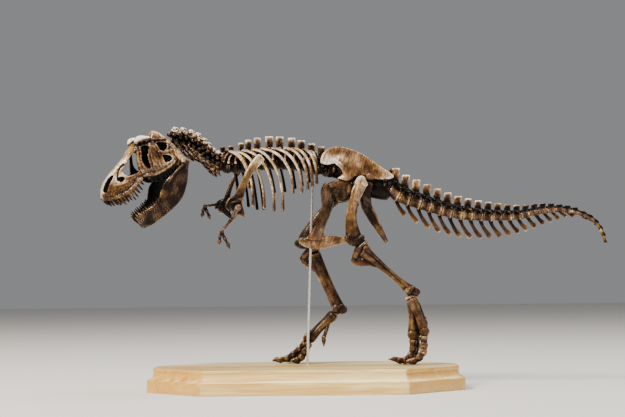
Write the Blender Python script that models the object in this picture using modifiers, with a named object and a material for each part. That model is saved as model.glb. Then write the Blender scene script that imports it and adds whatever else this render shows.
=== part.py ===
"""A desk-size skeleton of Tyrannosaurus, cast in resin, striding over a clipped-corner wood board.

Metres, +Z up. The origin is the centre of the board's underside. The animal faces -X and its
left side faces -Y. Shapes are worked out in millimetres and scaled to metres at the end.
"""

import math

import bmesh
import bpy
from mathutils import Matrix, Vector

MM = 0.001
GAP = 0.4  # between neighbouring solids

# The board
BOARD_LENGTH = 312
BOARD_DEPTH = 164
BOARD_HEIGHT = 23.6
BOARD_CLIP = 58  # each corner loses this much, at 45 degrees
BAND_HEIGHT = 12  # the upright edge below the cove
TOP_BAND_HEIGHT = 3
COVE_INSET = 7

# The rod, from its socket in the board to its socket in the backbone
ROD_RADIUS = 1.3
ROD_FOOT = Vector((0.5, 24, BOARD_HEIGHT - 9))
ROD_TOP = Vector((8.0, 19, 220.5))

# The backbone: the line through the middle of the vertebrae, from the skull to the tail's tip
NECK_LINE = [(-129.5, -27.5, 245), (-119, -23, 244.5), (-109, -19, 239.5), (-99, -16, 232),
             (-90, -13, 226), (-81, -10, 222.5)]
TRUNK_LINE = [(-71, -6.5, 221.5), (-57, -2, 223.5), (-43, 3, 225), (-23, 9, 226), (-3, 13.2, 224.5),
              (12, 15.4, 221), (24, 16, 218.5)]
HIP_LINE = [(38, 16, 216), (54, 16, 212.5), (72, 16, 207), (87, 16, 199)]
TAIL_LINE = [(98, 16, 191.7), (120, 16.5, 184), (142, 17, 177), (162, 17.5, 173), (189, 18.5, 171),
             (217, 20, 171.6), (242, 21, 176.5), (265, 22, 176.5), (287, 22.5, 169.5), (298, 23, 159),
             (304.5, 23, 142.5)]

NECK_VERTEBRAE = 9
TRUNK_VERTEBRAE = 11
TAIL_VERTEBRAE = 26
TAIL_SPLIT = (0, 5, 10, 15, 20, 26)  # the vertebra at which each length of tail starts
TRUNK_SPINES_AT = (-81, -73, -63, -56, -47, -35, -24, -13.5, -2.5, 7, 17)
CENTRUM_RADIUS = 6.0

# The ribs, from front to back: how far each one runs back and how far down, and its half spread
RIBS_AT = (-83, -78, -70, -61, -53, -44, -33.5, -21.5, -13, -3.5, 3)
RIB_SWEEP = (21, 20, 26, 27, 26, 28, 26, 20, 16, 10.5, 4.5)
RIB_DROP = (38, 56, 58, 62, 63, 46, 46, 43, 40, 35, 25)
FAR_SWEEP = 0.82  # the ribs of the right side swing back less
RIB_SPREAD = (17, 21, 24, 26, 27, 27, 26, 24, 22, 19, 15)

# The head, in its own frame: forward, to the left and up, from a point midway between the jaw joints
JAW_JOINTS = Vector((-127.8, -28.0, 224.1))
HEAD_TURN = math.radians(27)  # towards the animal's left
SKULL_PITCH = math.radians(28)  # nose down
JAW_PITCH = math.radians(60)
SKULL_WALL = 2.4

# The pelvis and legs
HIP_Y = 16
HIP_HALF_WIDTH = 17
HIP_X, HIP_Z = 52.5, 205  # the hip joint
BOOT_Y = 15.2  # the pubic boot clears the rod behind it

# How many triangles each bone is thinned to
SKULL_FACES = 1300
JAW_FACES = 560
NECK_FACES = 900
TRUNK_FACES = 1650
TAIL_FACES = (300, 260, 220, 190, 130)


def clear_scene():
    for thing in list(bpy.data.objects):
        bpy.data.objects.remove(thing, do_unlink=True)


def new_collection(name):
    collection = bpy.data.collections.new(name)
    bpy.context.scene.collection.children.link(collection)
    return collection


def new_material(name, colour, roughness, metallic=0.0):
    material = bpy.data.materials.new(name)
    material.use_nodes = True
    shader = material.node_tree.nodes["Principled BSDF"]
    shader.inputs["Base Color"].default_value = (*colour, 1)
    shader.inputs["Roughness"].default_value = roughness
    shader.inputs["Metallic"].default_value = metallic
    return material


def evaluated_mesh(thing):
    """The object's mesh with its modifiers done, or a curve's tube, as a new mesh."""
    graph = bpy.context.evaluated_depsgraph_get()
    return bpy.data.meshes.new_from_object(thing.evaluated_get(graph))


def finish(name, mesh, material):
    """Puts a mesh worked out in millimetres into the scene at its real size."""
    mesh.name = name
    mesh.transform(Matrix.Scale(MM, 4))
    mesh.materials.clear()
    mesh.materials.append(material)
    mesh.shade_smooth()
    mesh.set_sharp_from_angle(angle=math.radians(40))
    thing = bpy.data.objects.new(name, mesh)
    skeleton.objects.link(thing)
    return thing


def temporary(mesh_or_curve):
    thing = bpy.data.objects.new("temporary", mesh_or_curve)
    bpy.context.scene.collection.objects.link(thing)
    return thing


def smooth_line(points, steps=4):
    """A Catmull-Rom curve through the points, with this many steps between each pair."""
    points = [Vector(p) for p in points]
    ends = [2 * points[0] - points[1]] + points + [2 * points[-1] - points[-2]]
    line = []
    for before, start, end, after in zip(ends, ends[1:], ends[2:], ends[3:]):
        for step in range(steps):
            t = step / steps
            line.append(0.5 * (2 * start + (end - before) * t
                               + (2 * before - 5 * start + 4 * end - after) * t * t
                               + (3 * start - before - 3 * end + after) * t ** 3))
    return line + [points[-1]]


def between(values, t):
    """The value at t, from 0 to 1, on straight runs between evenly spaced values."""
    place = min(max(t, 0), 1) * (len(values) - 1)
    index = min(int(place), len(values) - 2)
    return values[index] + (values[index + 1] - values[index]) * (place - index)


class Bone:
    """The overlapping bars, knobs and blades that one bone is fused from, in millimetres."""

    def __init__(self):
        self.shells = bmesh.new()

    def add(self, mesh, place=Matrix.Identity(4)):
        mesh.transform(place)
        self.shells.from_mesh(mesh)
        bpy.data.meshes.remove(mesh)

    def bar(self, path, radii, flat=1.0, across=Vector((0, 1, 0)), resolution=1, steps=3):
        """A round bar along a smooth path. flat thins it in the direction across."""
        across = Vector(across).normalized()
        centre = Vector(path[0])
        thin = Matrix.Translation(centre) @ Matrix.Scale(flat, 4, across) @ Matrix.Translation(-centre)
        line = smooth_line([thin.inverted() @ Vector(p) for p in path], steps)
        curve = bpy.data.curves.new("bar", "CURVE")
        curve.dimensions = "3D"
        curve.bevel_depth = 1.0
        curve.bevel_resolution = resolution
        curve.use_fill_caps = True
        spline = curve.splines.new("POLY")
        spline.points.add(len(line) - 1)
        for index, (point, place) in enumerate(zip(spline.points, line)):
            point.co = (*place, 1)
            point.radius = between(radii, index / (len(line) - 1))
        thing = temporary(curve)
        self.add(evaluated_mesh(thing), thin)
        bpy.data.objects.remove(thing)

    def knob(self, centre, radius, frame=Matrix.Identity(3)):
        """A ball, or an egg with three radii along the frame's axes."""
        radii = (radius,) * 3 if isinstance(radius, (int, float)) else radius
        place = Matrix.Translation(Vector(centre)) @ frame.to_4x4() @ Matrix.Diagonal((*radii, 1))
        bmesh.ops.create_uvsphere(self.shells, u_segments=12, v_segments=8, radius=1, matrix=place)

    def block(self, foot, top, size_foot, size_top, frame):
        """A bar of rectangular section from foot to top. Sizes are along the frame's first two axes."""
        made = bmesh.ops.create_cube(self.shells, size=1)["verts"]
        for vert in made:
            centre, size = (top, size_top) if vert.co.z > 0 else (foot, size_foot)
            across = frame @ Vector((2 * vert.co.x * size[0] / 2, 2 * vert.co.y * size[1] / 2, 0))
            vert.co = Vector(centre) + across

    def spike(self, foot, tip, radius, sides=6, blunt=0.15):
        """A tooth or a claw's tip: a cone from foot to tip."""
        foot, tip = Vector(foot), Vector(tip)
        turn = (tip - foot).to_track_quat("Z", "Y").to_matrix().to_4x4()
        bmesh.ops.create_cone(self.shells, cap_ends=True, segments=sides, radius1=radius,
                              radius2=radius * blunt, depth=(tip - foot).length,
                              matrix=Matrix.Translation((foot + tip) / 2) @ turn)

    def fuse(self, name, faces, material, voxel=0.42):
        """Melts the shells into one skin, thins it to about this many triangles and drops stray specks."""
        mesh = bpy.data.meshes.new(name)
        self.shells.to_mesh(mesh)
        self.shells.free()
        thing = temporary(mesh)
        melt = thing.modifiers.new("melt", "REMESH")
        melt.mode = "VOXEL"
        thin = thing.modifiers.new("thin", "DECIMATE")
        for share in (1, 1.03, 0.97, 1.06, 0.94, 1.09, 0.91, 1.12, 0.88):
            melt.voxel_size = voxel * share
            thin.show_viewport = thin.show_render = False
            thin.ratio = min(1.0, faces / (2 * len(evaluated_mesh(thing).polygons)))
            thin.show_viewport = thin.show_render = True
            thinned = evaluated_mesh(thing)
            if keep_main_skin(thinned):
                break
        bpy.data.objects.remove(thing)
        return finish(name, thinned, material)


def keep_main_skin(mesh):
    """Deletes every island of faces but the largest, and says whether that one is free of faults."""
    skin = bmesh.new()
    skin.from_mesh(mesh)
    left = set(skin.faces)
    islands = []
    while left:
        island, edge_of_search = set(), [left.pop()]
        while edge_of_search:
            face = edge_of_search.pop()
            island.add(face)
            for edge in face.edges:
                for other in edge.link_faces:
                    if other in left:
                        left.remove(other)
                        edge_of_search.append(other)
        islands.append(island)
    islands.sort(key=lambda island: sum(face.calc_area() for face in island), reverse=True)
    for island in islands[1:]:
        bmesh.ops.delete(skin, geom=list(island), context="FACES")
    sound = all(vert.is_manifold for vert in skin.verts) and all(
        abs(edge.calc_face_angle_signed()) < 3.1 for edge in skin.edges) and all(
        face.calc_area() > 0.01 * max(edge.calc_length() for edge in face.edges) for face in skin.faces)
    skin.to_mesh(mesh)
    skin.free()
    return sound


# ---------------------------------------------------------------- board and rod


def clipped_board_outline(inset):
    """The board's eight corners, moved in on every side by inset."""
    half_x, half_y = BOARD_LENGTH / 2 - inset, BOARD_DEPTH / 2 - inset
    clip = BOARD_CLIP - inset * (2 - math.sqrt(2))
    corners = [(half_x - clip, -half_y), (half_x, clip - half_y), (half_x, half_y - clip),
               (half_x - clip, half_y)]
    return corners + [(-x, -y) for x, y in corners]


def board():
    """The board is a stack of outlines: an upright band, a concave cove and a thin upper band."""
    levels = [(0, 0), (BAND_HEIGHT, 0)]
    cove_height = BOARD_HEIGHT - TOP_BAND_HEIGHT - BAND_HEIGHT
    for step in range(5):
        turn = math.radians(90) * step / 4
        levels.append((BAND_HEIGHT + 0.01 + cove_height * (1 - math.cos(turn)),
                       0.8 + (COVE_INSET - 0.8) * math.sin(turn)))
    levels.append((BOARD_HEIGHT, COVE_INSET))
    skin = bmesh.new()
    rings = [[skin.verts.new((x, y, z)) for x, y in clipped_board_outline(inset)] for z, inset in levels]
    for lower, upper in zip(rings, rings[1:]):
        for i in range(8):
            skin.faces.new((lower[i], lower[(i + 1) % 8], upper[(i + 1) % 8], upper[i]))
    skin.faces.new(reversed(rings[0]))
    skin.faces.new(rings[-1])
    mesh = bpy.data.meshes.new("board")
    skin.to_mesh(mesh)
    skin.free()
    thing = finish("base_board", mesh, wood)
    bore(thing, ROD_FOOT, ROD_TOP)


def bore(thing, start, end):
    """Drills the rod's socket in a piece, with a little room round the rod."""
    axis = (end - start).normalized()
    foot, top = start - GAP * axis, end + GAP * axis
    drill = bmesh.new()
    turn = axis.to_track_quat("Z", "Y").to_matrix().to_4x4()
    radius = ROD_RADIUS + GAP
    bmesh.ops.create_cone(drill, cap_ends=True, segments=12, radius1=radius, radius2=radius,
                          depth=(top - foot).length, matrix=Matrix.Translation((foot + top) / 2) @ turn)
    mesh = bpy.data.meshes.new("drill")
    drill.to_mesh(mesh)
    drill.free()
    mesh.transform(Matrix.Scale(MM, 4))
    cutter = bpy.data.objects.new("drill", mesh)
    cutters.objects.link(cutter)
    cutter.hide_render = True
    cutter.display_type = "WIRE"
    cut = thing.modifiers.new("rod socket", "BOOLEAN")
    cut.operation = "DIFFERENCE"
    cut.object = cutter


def rod():
    rod_skin = bmesh.new()
    axis = ROD_TOP - ROD_FOOT
    turn = axis.to_track_quat("Z", "Y").to_matrix().to_4x4()
    bmesh.ops.create_cone(rod_skin, cap_ends=True, segments=12, radius1=ROD_RADIUS, radius2=ROD_RADIUS,
                          depth=axis.length, matrix=Matrix.Translation((ROD_FOOT + ROD_TOP) / 2) @ turn)
    mesh = bpy.data.meshes.new("rod")
    rod_skin.to_mesh(mesh)
    rod_skin.free()
    finish("support_rod", mesh, steel)


# ---------------------------------------------------------------- backbone


class Spine:
    """The backbone's line, measured by length, with a frame at each place on it."""

    def __init__(self, points):
        self.line = smooth_line(points, 12)
        self.at = [0.0]
        for a, b in zip(self.line, self.line[1:]):
            self.at.append(self.at[-1] + (b - a).length)

    def place(self, distance):
        distance = min(max(distance, 0), self.at[-1])
        for index in range(1, len(self.at)):
            if self.at[index] >= distance:
                break
        share = (distance - self.at[index - 1]) / (self.at[index] - self.at[index - 1])
        return self.line[index - 1].lerp(self.line[index], share)

    def frame(self, distance):
        """Columns: towards the tail, to the animal's right, and up, square to the line."""
        back = (self.place(distance + 1) - self.place(distance - 1)).normalized()
        right = Vector((-back.y, back.x, 0)).normalized()
        return Matrix((back, right, back.cross(right))).transposed()

    def nearest_x(self, x):
        return self.at[min(range(len(self.line)), key=lambda i: abs(self.line[i].x - x))]


def column(bone, spine, edges, radii, arch_rise, arch_radii):
    """Spool-shaped centra from edge to edge, and the neural arches above them."""
    path, widths = [], []
    for start, end, radius in zip(edges, edges[1:], radii):
        for share, width in ((0.0, 1.0), (0.2, 0.93), (0.5, 0.8), (0.8, 0.93), (1.0, 1.0)):
            if path and share == 0.0:
                continue
            path.append(spine.place(start + (end - start) * share))
            widths.append(radius * width)
    bone.bar(path, widths, resolution=2, steps=1)
    arch = [spine.place((a + b) / 2) + spine.frame((a + b) / 2) @ Vector((0, 0, rise))
            for a, b, rise in zip(edges, edges[1:], arch_rise)]
    if len(arch) > 1:
        first = spine.place(edges[0]) + spine.frame(edges[0]) @ Vector((0, 0, arch_rise[0]))
        last = spine.place(edges[-1]) + spine.frame(edges[-1]) @ Vector((0, 0, arch_rise[-1]))
        bone.bar([first] + arch + [last], [arch_radii[0]] + list(arch_radii) + [arch_radii[-1]],
                 flat=0.8, across=spine.frame((edges[0] + edges[-1]) / 2).col[1], steps=1)


def neural_spine(bone, spine, at, rise, top, length, thickness, lean=0.0):
    """The upright blade over a vertebra. lean moves its top towards the tail."""
    frame = spine.frame(at)
    foot = spine.place(at) + frame @ Vector((0, 0, rise))
    crown = spine.place(at) + frame @ Vector((lean, 0, top))
    bone.block(foot, crown, (length * 0.8, thickness), (length, thickness * 1.25), frame)


def neck_lengths():
    """Where the neck's vertebrae start and end along the backbone."""
    start, end = 0.5, backbone.nearest_x(TRUNK_SPINES_AT[0] - 4)
    return [start + (end - start) * i / NECK_VERTEBRAE for i in range(NECK_VERTEBRAE + 1)]


def neck():
    """Nine vertebrae, each with a knobbed spine, side knobs and two ribs that trail back and down."""
    bone = Bone()
    edges = neck_lengths()
    own = [edges[0] + GAP] + edges[1:-1] + [edges[-1] - GAP]
    radii = [4.6 + 0.15 * i for i in range(NECK_VERTEBRAE)]
    rises = [7.5] * NECK_VERTEBRAE
    column(bone, backbone, own, radii, rises, [4.2] * NECK_VERTEBRAE)
    for i in range(NECK_VERTEBRAE):
        share = i / (NECK_VERTEBRAE - 1)
        at = (edges[i] + edges[i + 1]) / 2
        frame = backbone.frame(at)
        centre = backbone.place(at)
        rise = between((13.5, 13.5, 14.5, 15.5, 15.5, 14.5, 13, 12), share)
        neural_spine(bone, backbone, at, 6, rise, 3.6, 2.6)
        bone.knob(centre + frame @ Vector((0, 0, rise)), (2.3, 2.4, 2.3), frame)
        for side in (-1, 1):
            bone.knob(centre + frame @ Vector((0, side * 4.8, 10)), (2.3, 2.2, 2.4), frame)
            bone.knob(centre + frame @ Vector((0, side * 5.2, -1.5)), (2.0, 1.9, 2.0), frame)
            reach, drop = between((13, 17, 15, 9, 3), share), between((14, 15, 14, 14, 10), share)
            root = centre + frame @ Vector((0, side * 5.2, -2.5))
            out = frame @ Vector((0, side, 0))
            bone.bar([root, root + Vector((reach * 0.45, 0, -drop * 0.6)) + out * 2.6,
                      root + Vector((reach, 0, -drop)) + out * 2.4], [1.2, 1.1, 0.8])
    # the axis's spine leans forward, over the back of the skull
    axis = backbone.place(edges[0])
    bone.bar([axis + Vector((1, 0.5, 8)), axis + Vector((-3.5, -2.6, 8.2))], [3.0, 2.4])
    bone.fuse("neck", NECK_FACES, resin)


def trunk_lengths():
    """Where the trunk's vertebrae start and end: halfway between neighbouring spines."""
    spots = [backbone.nearest_x(x) for x in TRUNK_SPINES_AT]
    ends = [(a + b) / 2 for a, b in zip(spots, spots[1:])]
    return spots, [neck_lengths()[-1]] + ends + [backbone.nearest_x(23)]


def rib(bone, root_at, side, sweep, drop, spread, head_rise):
    """A quarter ellipse running back and down, bowed outwards most at two thirds of its length."""
    frame = backbone.frame(root_at)
    back = Vector((frame.col[0].x, frame.col[0].y, 0)).normalized()
    right = frame.col[1]
    root = backbone.place(root_at) + frame @ Vector((0, 0, head_rise))
    inner = 6.0
    path = [root + right * side * 2.0 - Vector((0, 0, 4))]
    for step in range(8):
        turn = math.radians(88) * step / 7
        out = inner + (spread - inner) * math.sin(turn * 1.35)
        path.append(root + back * sweep * math.sin(turn) + right * side * out
                    - Vector((0, 0, drop * (1 - math.cos(turn)))))
    bone.bar(path, [1.7, 1.7, 1.6, 1.5, 1.45, 1.4, 1.35, 1.3, 1.4], steps=2)


def trunk():
    """The rib cage: the trunk's vertebrae and ribs, split along the middle into two sides."""
    bone = Bone()
    spots, edges = trunk_lengths()
    own = [edges[0] + GAP] + edges[1:-1] + [edges[-1] - GAP]
    radii = [CENTRUM_RADIUS] * TRUNK_VERTEBRAE
    rises = [between((8.5, 9, 9.5, 9), i / 10) for i in range(TRUNK_VERTEBRAE)]
    column(bone, backbone, own, radii, rises, [5.0] * TRUNK_VERTEBRAE)
    for i, at in enumerate(spots):
        frame = backbone.frame(at)
        centre = backbone.place(at)
        top = between((19, 22.5, 26.5, 28, 27.5, 26, 25), i / 10)
        length = between((4.6, 5.0, 7.5, 7.5, 6.5), i / 10)
        neural_spine(bone, backbone, at, 10, top, length, 2.2)
        for side in (-1, 1):
            reach = 9.5 if i < 9 else 5
            bone.bar([centre + frame @ Vector((0, side * 2, 12)),
                      centre + frame @ Vector((-1, side * reach * 0.6, 14.5)),
                      centre + frame @ Vector((-2, side * reach, 15.5))], [2.4, 1.9, 1.5])
            sweep = RIB_SWEEP[i] * (FAR_SWEEP if side > 0 else 1)
            drop = RIB_DROP[i] - (4 if side > 0 else 0)
            rib(bone, backbone.nearest_x(RIBS_AT[i]), side, sweep, drop, RIB_SPREAD[i], 15)
    whole = bone.fuse("ribcage_left", TRUNK_FACES, resin)
    other = bpy.data.objects.new("ribcage_right", whole.data)
    skeleton.objects.link(other)
    for thing, side in ((whole, -1), (other, 1)):
        keep_side(thing, side)
    bore(other, ROD_FOOT, ROD_TOP)


def keep_side(thing, side):
    """Keeps the part of the rib cage on one side of the curved sheet that follows the backbone's middle."""
    box = bmesh.new()
    marks = [-110, -90, -71, -57, -43, -23, -3, 12, 24, 60]
    rows = []
    for x in marks:
        at = backbone.nearest_x(min(max(x, -100), 30))
        place = backbone.place(at)
        near = place + backbone.frame(at).col[1] * side * GAP / 2
        near.x += x - place.x
        far = near + Vector((0, side * 90, 0))
        rows.append([box.verts.new((p.x, p.y, z)) for p, z in ((near, 120), (far, 120), (far, 300), (near, 300))])
    for one, two in zip(rows, rows[1:]):
        for i in range(4):
            box.faces.new((one[i], one[(i + 1) % 4], two[(i + 1) % 4], two[i]))
    box.faces.new(rows[0])
    box.faces.new(reversed(rows[-1]))
    bmesh.ops.recalc_face_normals(box, faces=box.faces)
    mesh = bpy.data.meshes.new("side")
    box.to_mesh(mesh)
    box.free()
    mesh.transform(Matrix.Scale(MM, 4))
    cutter = bpy.data.objects.new("side", mesh)
    cutters.objects.link(cutter)
    cutter.hide_render = True
    cutter.display_type = "WIRE"
    cut = thing.modifiers.new("side", "BOOLEAN")
    cut.operation = "INTERSECT"
    cut.object = cutter


def tail_lengths():
    """Where the tail's vertebrae start and end. Each is a little shorter than the one before."""
    start = backbone.nearest_x(86)
    length = backbone.at[-1] - start
    shares = [1 - 0.017 * i for i in range(TAIL_VERTEBRAE)]
    edges = [start]
    for share in shares:
        edges.append(edges[-1] + length * share / sum(shares))
    return edges


def tail():
    """Five lengths of tail, with spines above, chevrons below and side processes near the hips."""
    edges = tail_lengths()
    for number, (first, last) in enumerate(zip(TAIL_SPLIT, TAIL_SPLIT[1:])):
        bone = Bone()
        own = edges[first:last + 1]
        own = [own[0] + GAP] + own[1:-1] + [own[-1] - (GAP if last < TAIL_VERTEBRAE else 0)]
        radii = [between((4.8, 4.3, 3.7, 3.0, 2.3, 1.7, 1.2), i / 25) for i in range(first, last)]
        rises = [between((6.2, 5.6, 4.8, 3.6, 2.5, 1.7, 0.8), i / 25) for i in range(first, last)]
        arches = [between((3.2, 2.9, 2.5, 2.0, 1.6, 1.3, 0.9), i / 25) for i in range(first, last)]
        column(bone, backbone, own, radii, rises, arches)
        for i in range(first, last):
            at = (edges[i] + edges[i + 1]) / 2
            frame = backbone.frame(at)
            centre = backbone.place(at)
            length = edges[i + 1] - edges[i]
            if i < 20:
                top = max(24.0 - 1.12 * i, 4.5)
                neural_spine(bone, backbone, at + 0.5, top * 0.3, top, length * 0.7,
                             between((2.2, 1.6, 1.3), i / 20), lean=1.5 - 0.05 * i)
            if i < 13:
                reach = 12 - 0.75 * i
                for side in (-1, 1):
                    bone.bar([centre + frame @ Vector((0, side * 2, 2.5)),
                              centre + frame @ Vector((1, side * (radii[i - first] + reach * 0.5), 3.0)),
                              centre + frame @ Vector((2, side * (radii[i - first] + reach), 2.5))],
                             [2.2, 1.7, 1.0], flat=0.6, across=(0, 0, 1))
            chevron(bone, i, edges[i + 1] - 2.6)
        bone.fuse(f"tail_{number + 1}", TAIL_FACES[number], resin, voxel=0.4)


def chevron(bone, i, at):
    """The blade hanging back from the joint under each vertebra but the last few."""
    if i in (19, 23, 24, 25):
        return
    frame = backbone.frame(at)
    root = backbone.place(at)
    size = between((20, 25, 24, 22, 19, 14, 11, 7.5, 6, 4), i / 22)
    tilt = math.radians(between((62, 64, 62, 58, 52, 48, 30, 12), i / 22))
    radius = between((4.3, 3.7, 2.6, 1.7), i / 22)
    along = Vector((math.cos(tilt), 0, -math.sin(tilt)))
    start = root - frame.col[2] * radius * 0.8
    tip = start + along * (size + radius * 0.4)
    bone.bar([start, start.lerp(tip, 0.5) + Vector((-0.5, 0, -0.6)), tip], [1.4, 1.3, 1.5, 1.9], flat=0.7)


# ---------------------------------------------------------------- head


def head_place(pitch):
    """The frame of the skull or the jaw: forward, to the left and up."""
    forward = Vector((-math.cos(HEAD_TURN) * math.cos(pitch), -math.sin(HEAD_TURN) * math.cos(pitch),
                      -math.sin(pitch)))
    left = Vector((math.sin(HEAD_TURN), -math.cos(HEAD_TURN), 0))
    turn = Matrix((forward, left, forward.cross(left))).transposed().to_4x4()
    return Matrix.Translation(JAW_JOINTS) @ turn


def profile(knots, u):
    """The height or width at u, on straight runs between (u, value) knots."""
    for (u0, a), (u1, b) in zip(knots, knots[1:]):
        if u <= u1:
            return a + (b - a) * (max(u, u0) - u0) / (u1 - u0)
    return knots[-1][1]


SKULL_FLOOR = [(-2, 8), (3, 3), (16, 0), (28, 0), (35, 3), (45, 2.5), (50, -1), (58, -3), (67, -2.5),
               (75, -1.5), (82, 3)]
SKULL_ROOF = [(-2, 24), (3, 28.5), (15, 34), (27, 36.5), (33, 36), (37, 33.5), (42, 30), (49, 27),
              (57, 24), (64, 21.2), (70, 18.2), (75, 14.7), (79, 11), (82, 6)]
SKULL_WIDTH_LOW = [(-2, 22), (3, 24.5), (16, 24), (28, 21.5), (38, 16), (48, 13), (60, 10.5), (70, 8),
                   (77, 5.5), (82, 2.2)]
SKULL_WIDTH_HIGH = [(-2, 12), (3, 14), (15, 14.5), (27, 13), (36, 9), (45, 6), (60, 4.5), (72, 4), (82, 1.5)]


def skull_section(u, wall):
    """The skull's cross-section at u: a squarish round, wider at the cheeks, drawn in by wall."""
    floor, roof = profile(SKULL_FLOOR, u) + wall * 1.2, profile(SKULL_ROOF, u) - wall * 1.4
    low, high = profile(SKULL_WIDTH_LOW, u) - wall, profile(SKULL_WIDTH_HIGH, u) - wall
    ring = []
    for corner in range(16):
        turn = math.tau * (corner + 0.5) / 16
        c, s = math.cos(turn), math.sin(turn)
        height = (math.copysign(abs(s) ** 0.55, s) + 1) / 2
        width = low + (high - low) * height
        ring.append((u, width * math.copysign(abs(c) ** 0.55, c), floor + (roof - floor) * height))
    return ring


def loft(rings):
    """A closed skin over a row of like-numbered rings, with both ends filled."""
    skin = bmesh.new()
    rows = [[skin.verts.new(p) for p in ring] for ring in rings]
    for one, two in zip(rows, rows[1:]):
        for i in range(len(one)):
            j = (i + 1) % len(one)
            skin.faces.new((one[i], one[j], two[j], two[i]))
    skin.faces.new(reversed(rows[0]))
    skin.faces.new(rows[-1])
    bmesh.ops.recalc_face_normals(skin, faces=skin.faces)
    mesh = bpy.data.meshes.new("loft")
    skin.to_mesh(mesh)
    skin.free()
    return mesh


def prism(outline, low, high):
    """A cutter: an outline in the u-w plane, carried from v = low to v = high."""
    return loft([[(u, v, w) for u, w in outline] for v in (low, high)])


SKULL_WINDOWS = (
    [(53, 18), (48, 21.5), (42, 24.5), (36, 28.5), (33.5, 28.5), (36.5, 20), (39, 13), (42, 10.5), (50.5, 12)],
    [(28, 31), (32.5, 28), (33.5, 20), (31, 12), (29, 11), (27.5, 14), (26.8, 20), (23, 26), (24, 31)],
    [(13, 27.5), (6, 27), (3.5, 24), (8.5, 18.5), (12.5, 20)],
    [(13.5, 15), (6, 12), (4.5, 9), (9, 6), (15.5, 9)],
    [(76, 11), (71, 15.2), (66, 17), (62, 17), (66, 13.5), (71, 10.5)],
    [(59.5, 12.5), (58, 13.6), (55.6, 12.6), (55.6, 10.6), (58, 10)],
)


def cut(thing, mesh):
    """Takes a mesh out of an object for good."""
    cutter = temporary(mesh)
    step = thing.modifiers.new("cut", "BOOLEAN")
    step.operation = "DIFFERENCE"
    step.object = cutter
    done = evaluated_mesh(thing)
    thing.modifiers.remove(step)
    thing.data = done
    bpy.data.objects.remove(cutter)


def skull():
    """Thin side walls with their windows, over a brain case, with horns, crests and upper teeth."""
    stations = (-2, 3, 9, 16, 22, 28, 33, 37, 42, 49, 57, 64, 70, 75, 79, 82)
    shell = temporary(loft([skull_section(u, 0) for u in stations]))
    cut(shell, loft([skull_section(u, SKULL_WALL) for u in (1.5, 9, 16, 22, 28, 33, 37, 42, 49, 54)]))
    for window in SKULL_WINDOWS[:4]:
        cut(shell, prism(window, -40, 40))
    for window in SKULL_WINDOWS[4:]:
        for side in (-1, 1):
            cut(shell, prism(window, *sorted((side * 2.2, side * 20))))
    place = head_place(SKULL_PITCH)
    bone = Bone()
    bone.add(shell.data.copy())
    bpy.data.objects.remove(shell)
    # the brain case, the joint knob behind it and the crests at the back of the roof
    bone.bar([(-1, 0, 18), (10, 0, 23), (22, 0, 28), (31, 0, 33)], [9, 9, 7.5, 4])
    bone.knob((-3.5, 0, 15), 3.0)
    bone.knob((0, 0, 27), (2.4, 12, 7))
    bone.spike((5.5, 0, 33), (7, 0, 42), 5, sides=8)
    for side in (-1, 1):
        bone.knob((22, side * 11.5, 38.5), (6.5, 3.0, 4.2))
        bone.knob((14.5, side * 14, 33), (3.5, 2.6, 3.4))
        # the quadrate, down to the jaw's joint
        bone.bar([(1, side * 14, 24), (0, side * 20, 13), (-0.5, side * 24, 3)], [2.6, 2.4, 2.6])
        bone.knob((-0.8, side * 23.6, 2.4), (2.9, 3.8, 2.4))
        for i in range(12):
            share = i / 11
            u = 43.5 + 36.5 * share
            edge = profile(SKULL_WIDTH_LOW, u) - 1.8
            size = between((5.5, 8, 10, 10, 9.5, 8.5, 6.5, 5.5), share)
            root = Vector((u, side * edge, profile(SKULL_FLOOR, u) + 2.2))
            bone.spike(root, root + Vector((-1.6, side * 0.4, -size)), 1.35, sides=6, blunt=0.35)
    bone.shells.transform(place)
    bone.fuse("skull", SKULL_FACES, resin, voxel=0.45)


JAW_LOWER = [(-4, -5), (0, -7), (7, -9), (13, -11.5), (21, -14), (29, -15.4), (36, -15), (43, -13.3),
             (50, -11.4), (57, -9.6), (63, -8.5), (67, -6.8), (69.5, -2.5)]
JAW_UPPER = [(69.8, 3), (67.5, 7.4), (63, 7.6), (57, 5), (50, 2.5), (42, 1.6), (34, 3.8), (27, 5.4), (19, 4.2),
             (11, 2), (5, -1.4), (1, -2.2), (-3, -2)]
JAW_WIDTH = [(0, 23.5), (10, 23), (27, 21), (42, 17), (50, 14), (57, 10.5), (64, 6.5), (69, 3.2), (72, 0.8)]


def lower_jaw():
    """Two side plates that meet at the chin, with the lower teeth along their upper edges."""
    bone = Bone()
    outline = JAW_LOWER + JAW_UPPER
    middle = [(u, -4.5 if 3 < u < 66 else -3) for u, w in outline]
    for side in (-1, 1):
        rings = []
        for shift, share in ((-1.5, 0.9), (-0.7, 1.0), (0.7, 1.0), (1.5, 0.9)):
            rings.append([(u0 + (u - u0) * share, side * (profile(JAW_WIDTH, u) + shift * (1 + 0.2 * (u < 5))),
                           w0 + (w - w0) * share) for (u, w), (u0, w0) in zip(outline, middle)])
        bone.add(loft(rings))
        for i in range(11):
            u = 43 + 24.5 * i / 10
            size = between((5, 7, 7.5, 7, 6), i / 10)
            root = Vector((u, side * profile(JAW_WIDTH, u), profile(sorted(JAW_UPPER), u) - 1.5))
            bone.spike(root, root + Vector((-1.2, side * 0.3, size)), 1.3, sides=6, blunt=0.35)
    bone.bar([(65, -5, -2), (68.5, 0, -2.5), (65, 5, -2)], [3.2, 3.8, 3.2])
    bone.shells.transform(head_place(JAW_PITCH))
    bone.fuse("lower_jaw", JAW_FACES, resin, voxel=0.4)


# ---------------------------------------------------------------- pelvis


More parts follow.
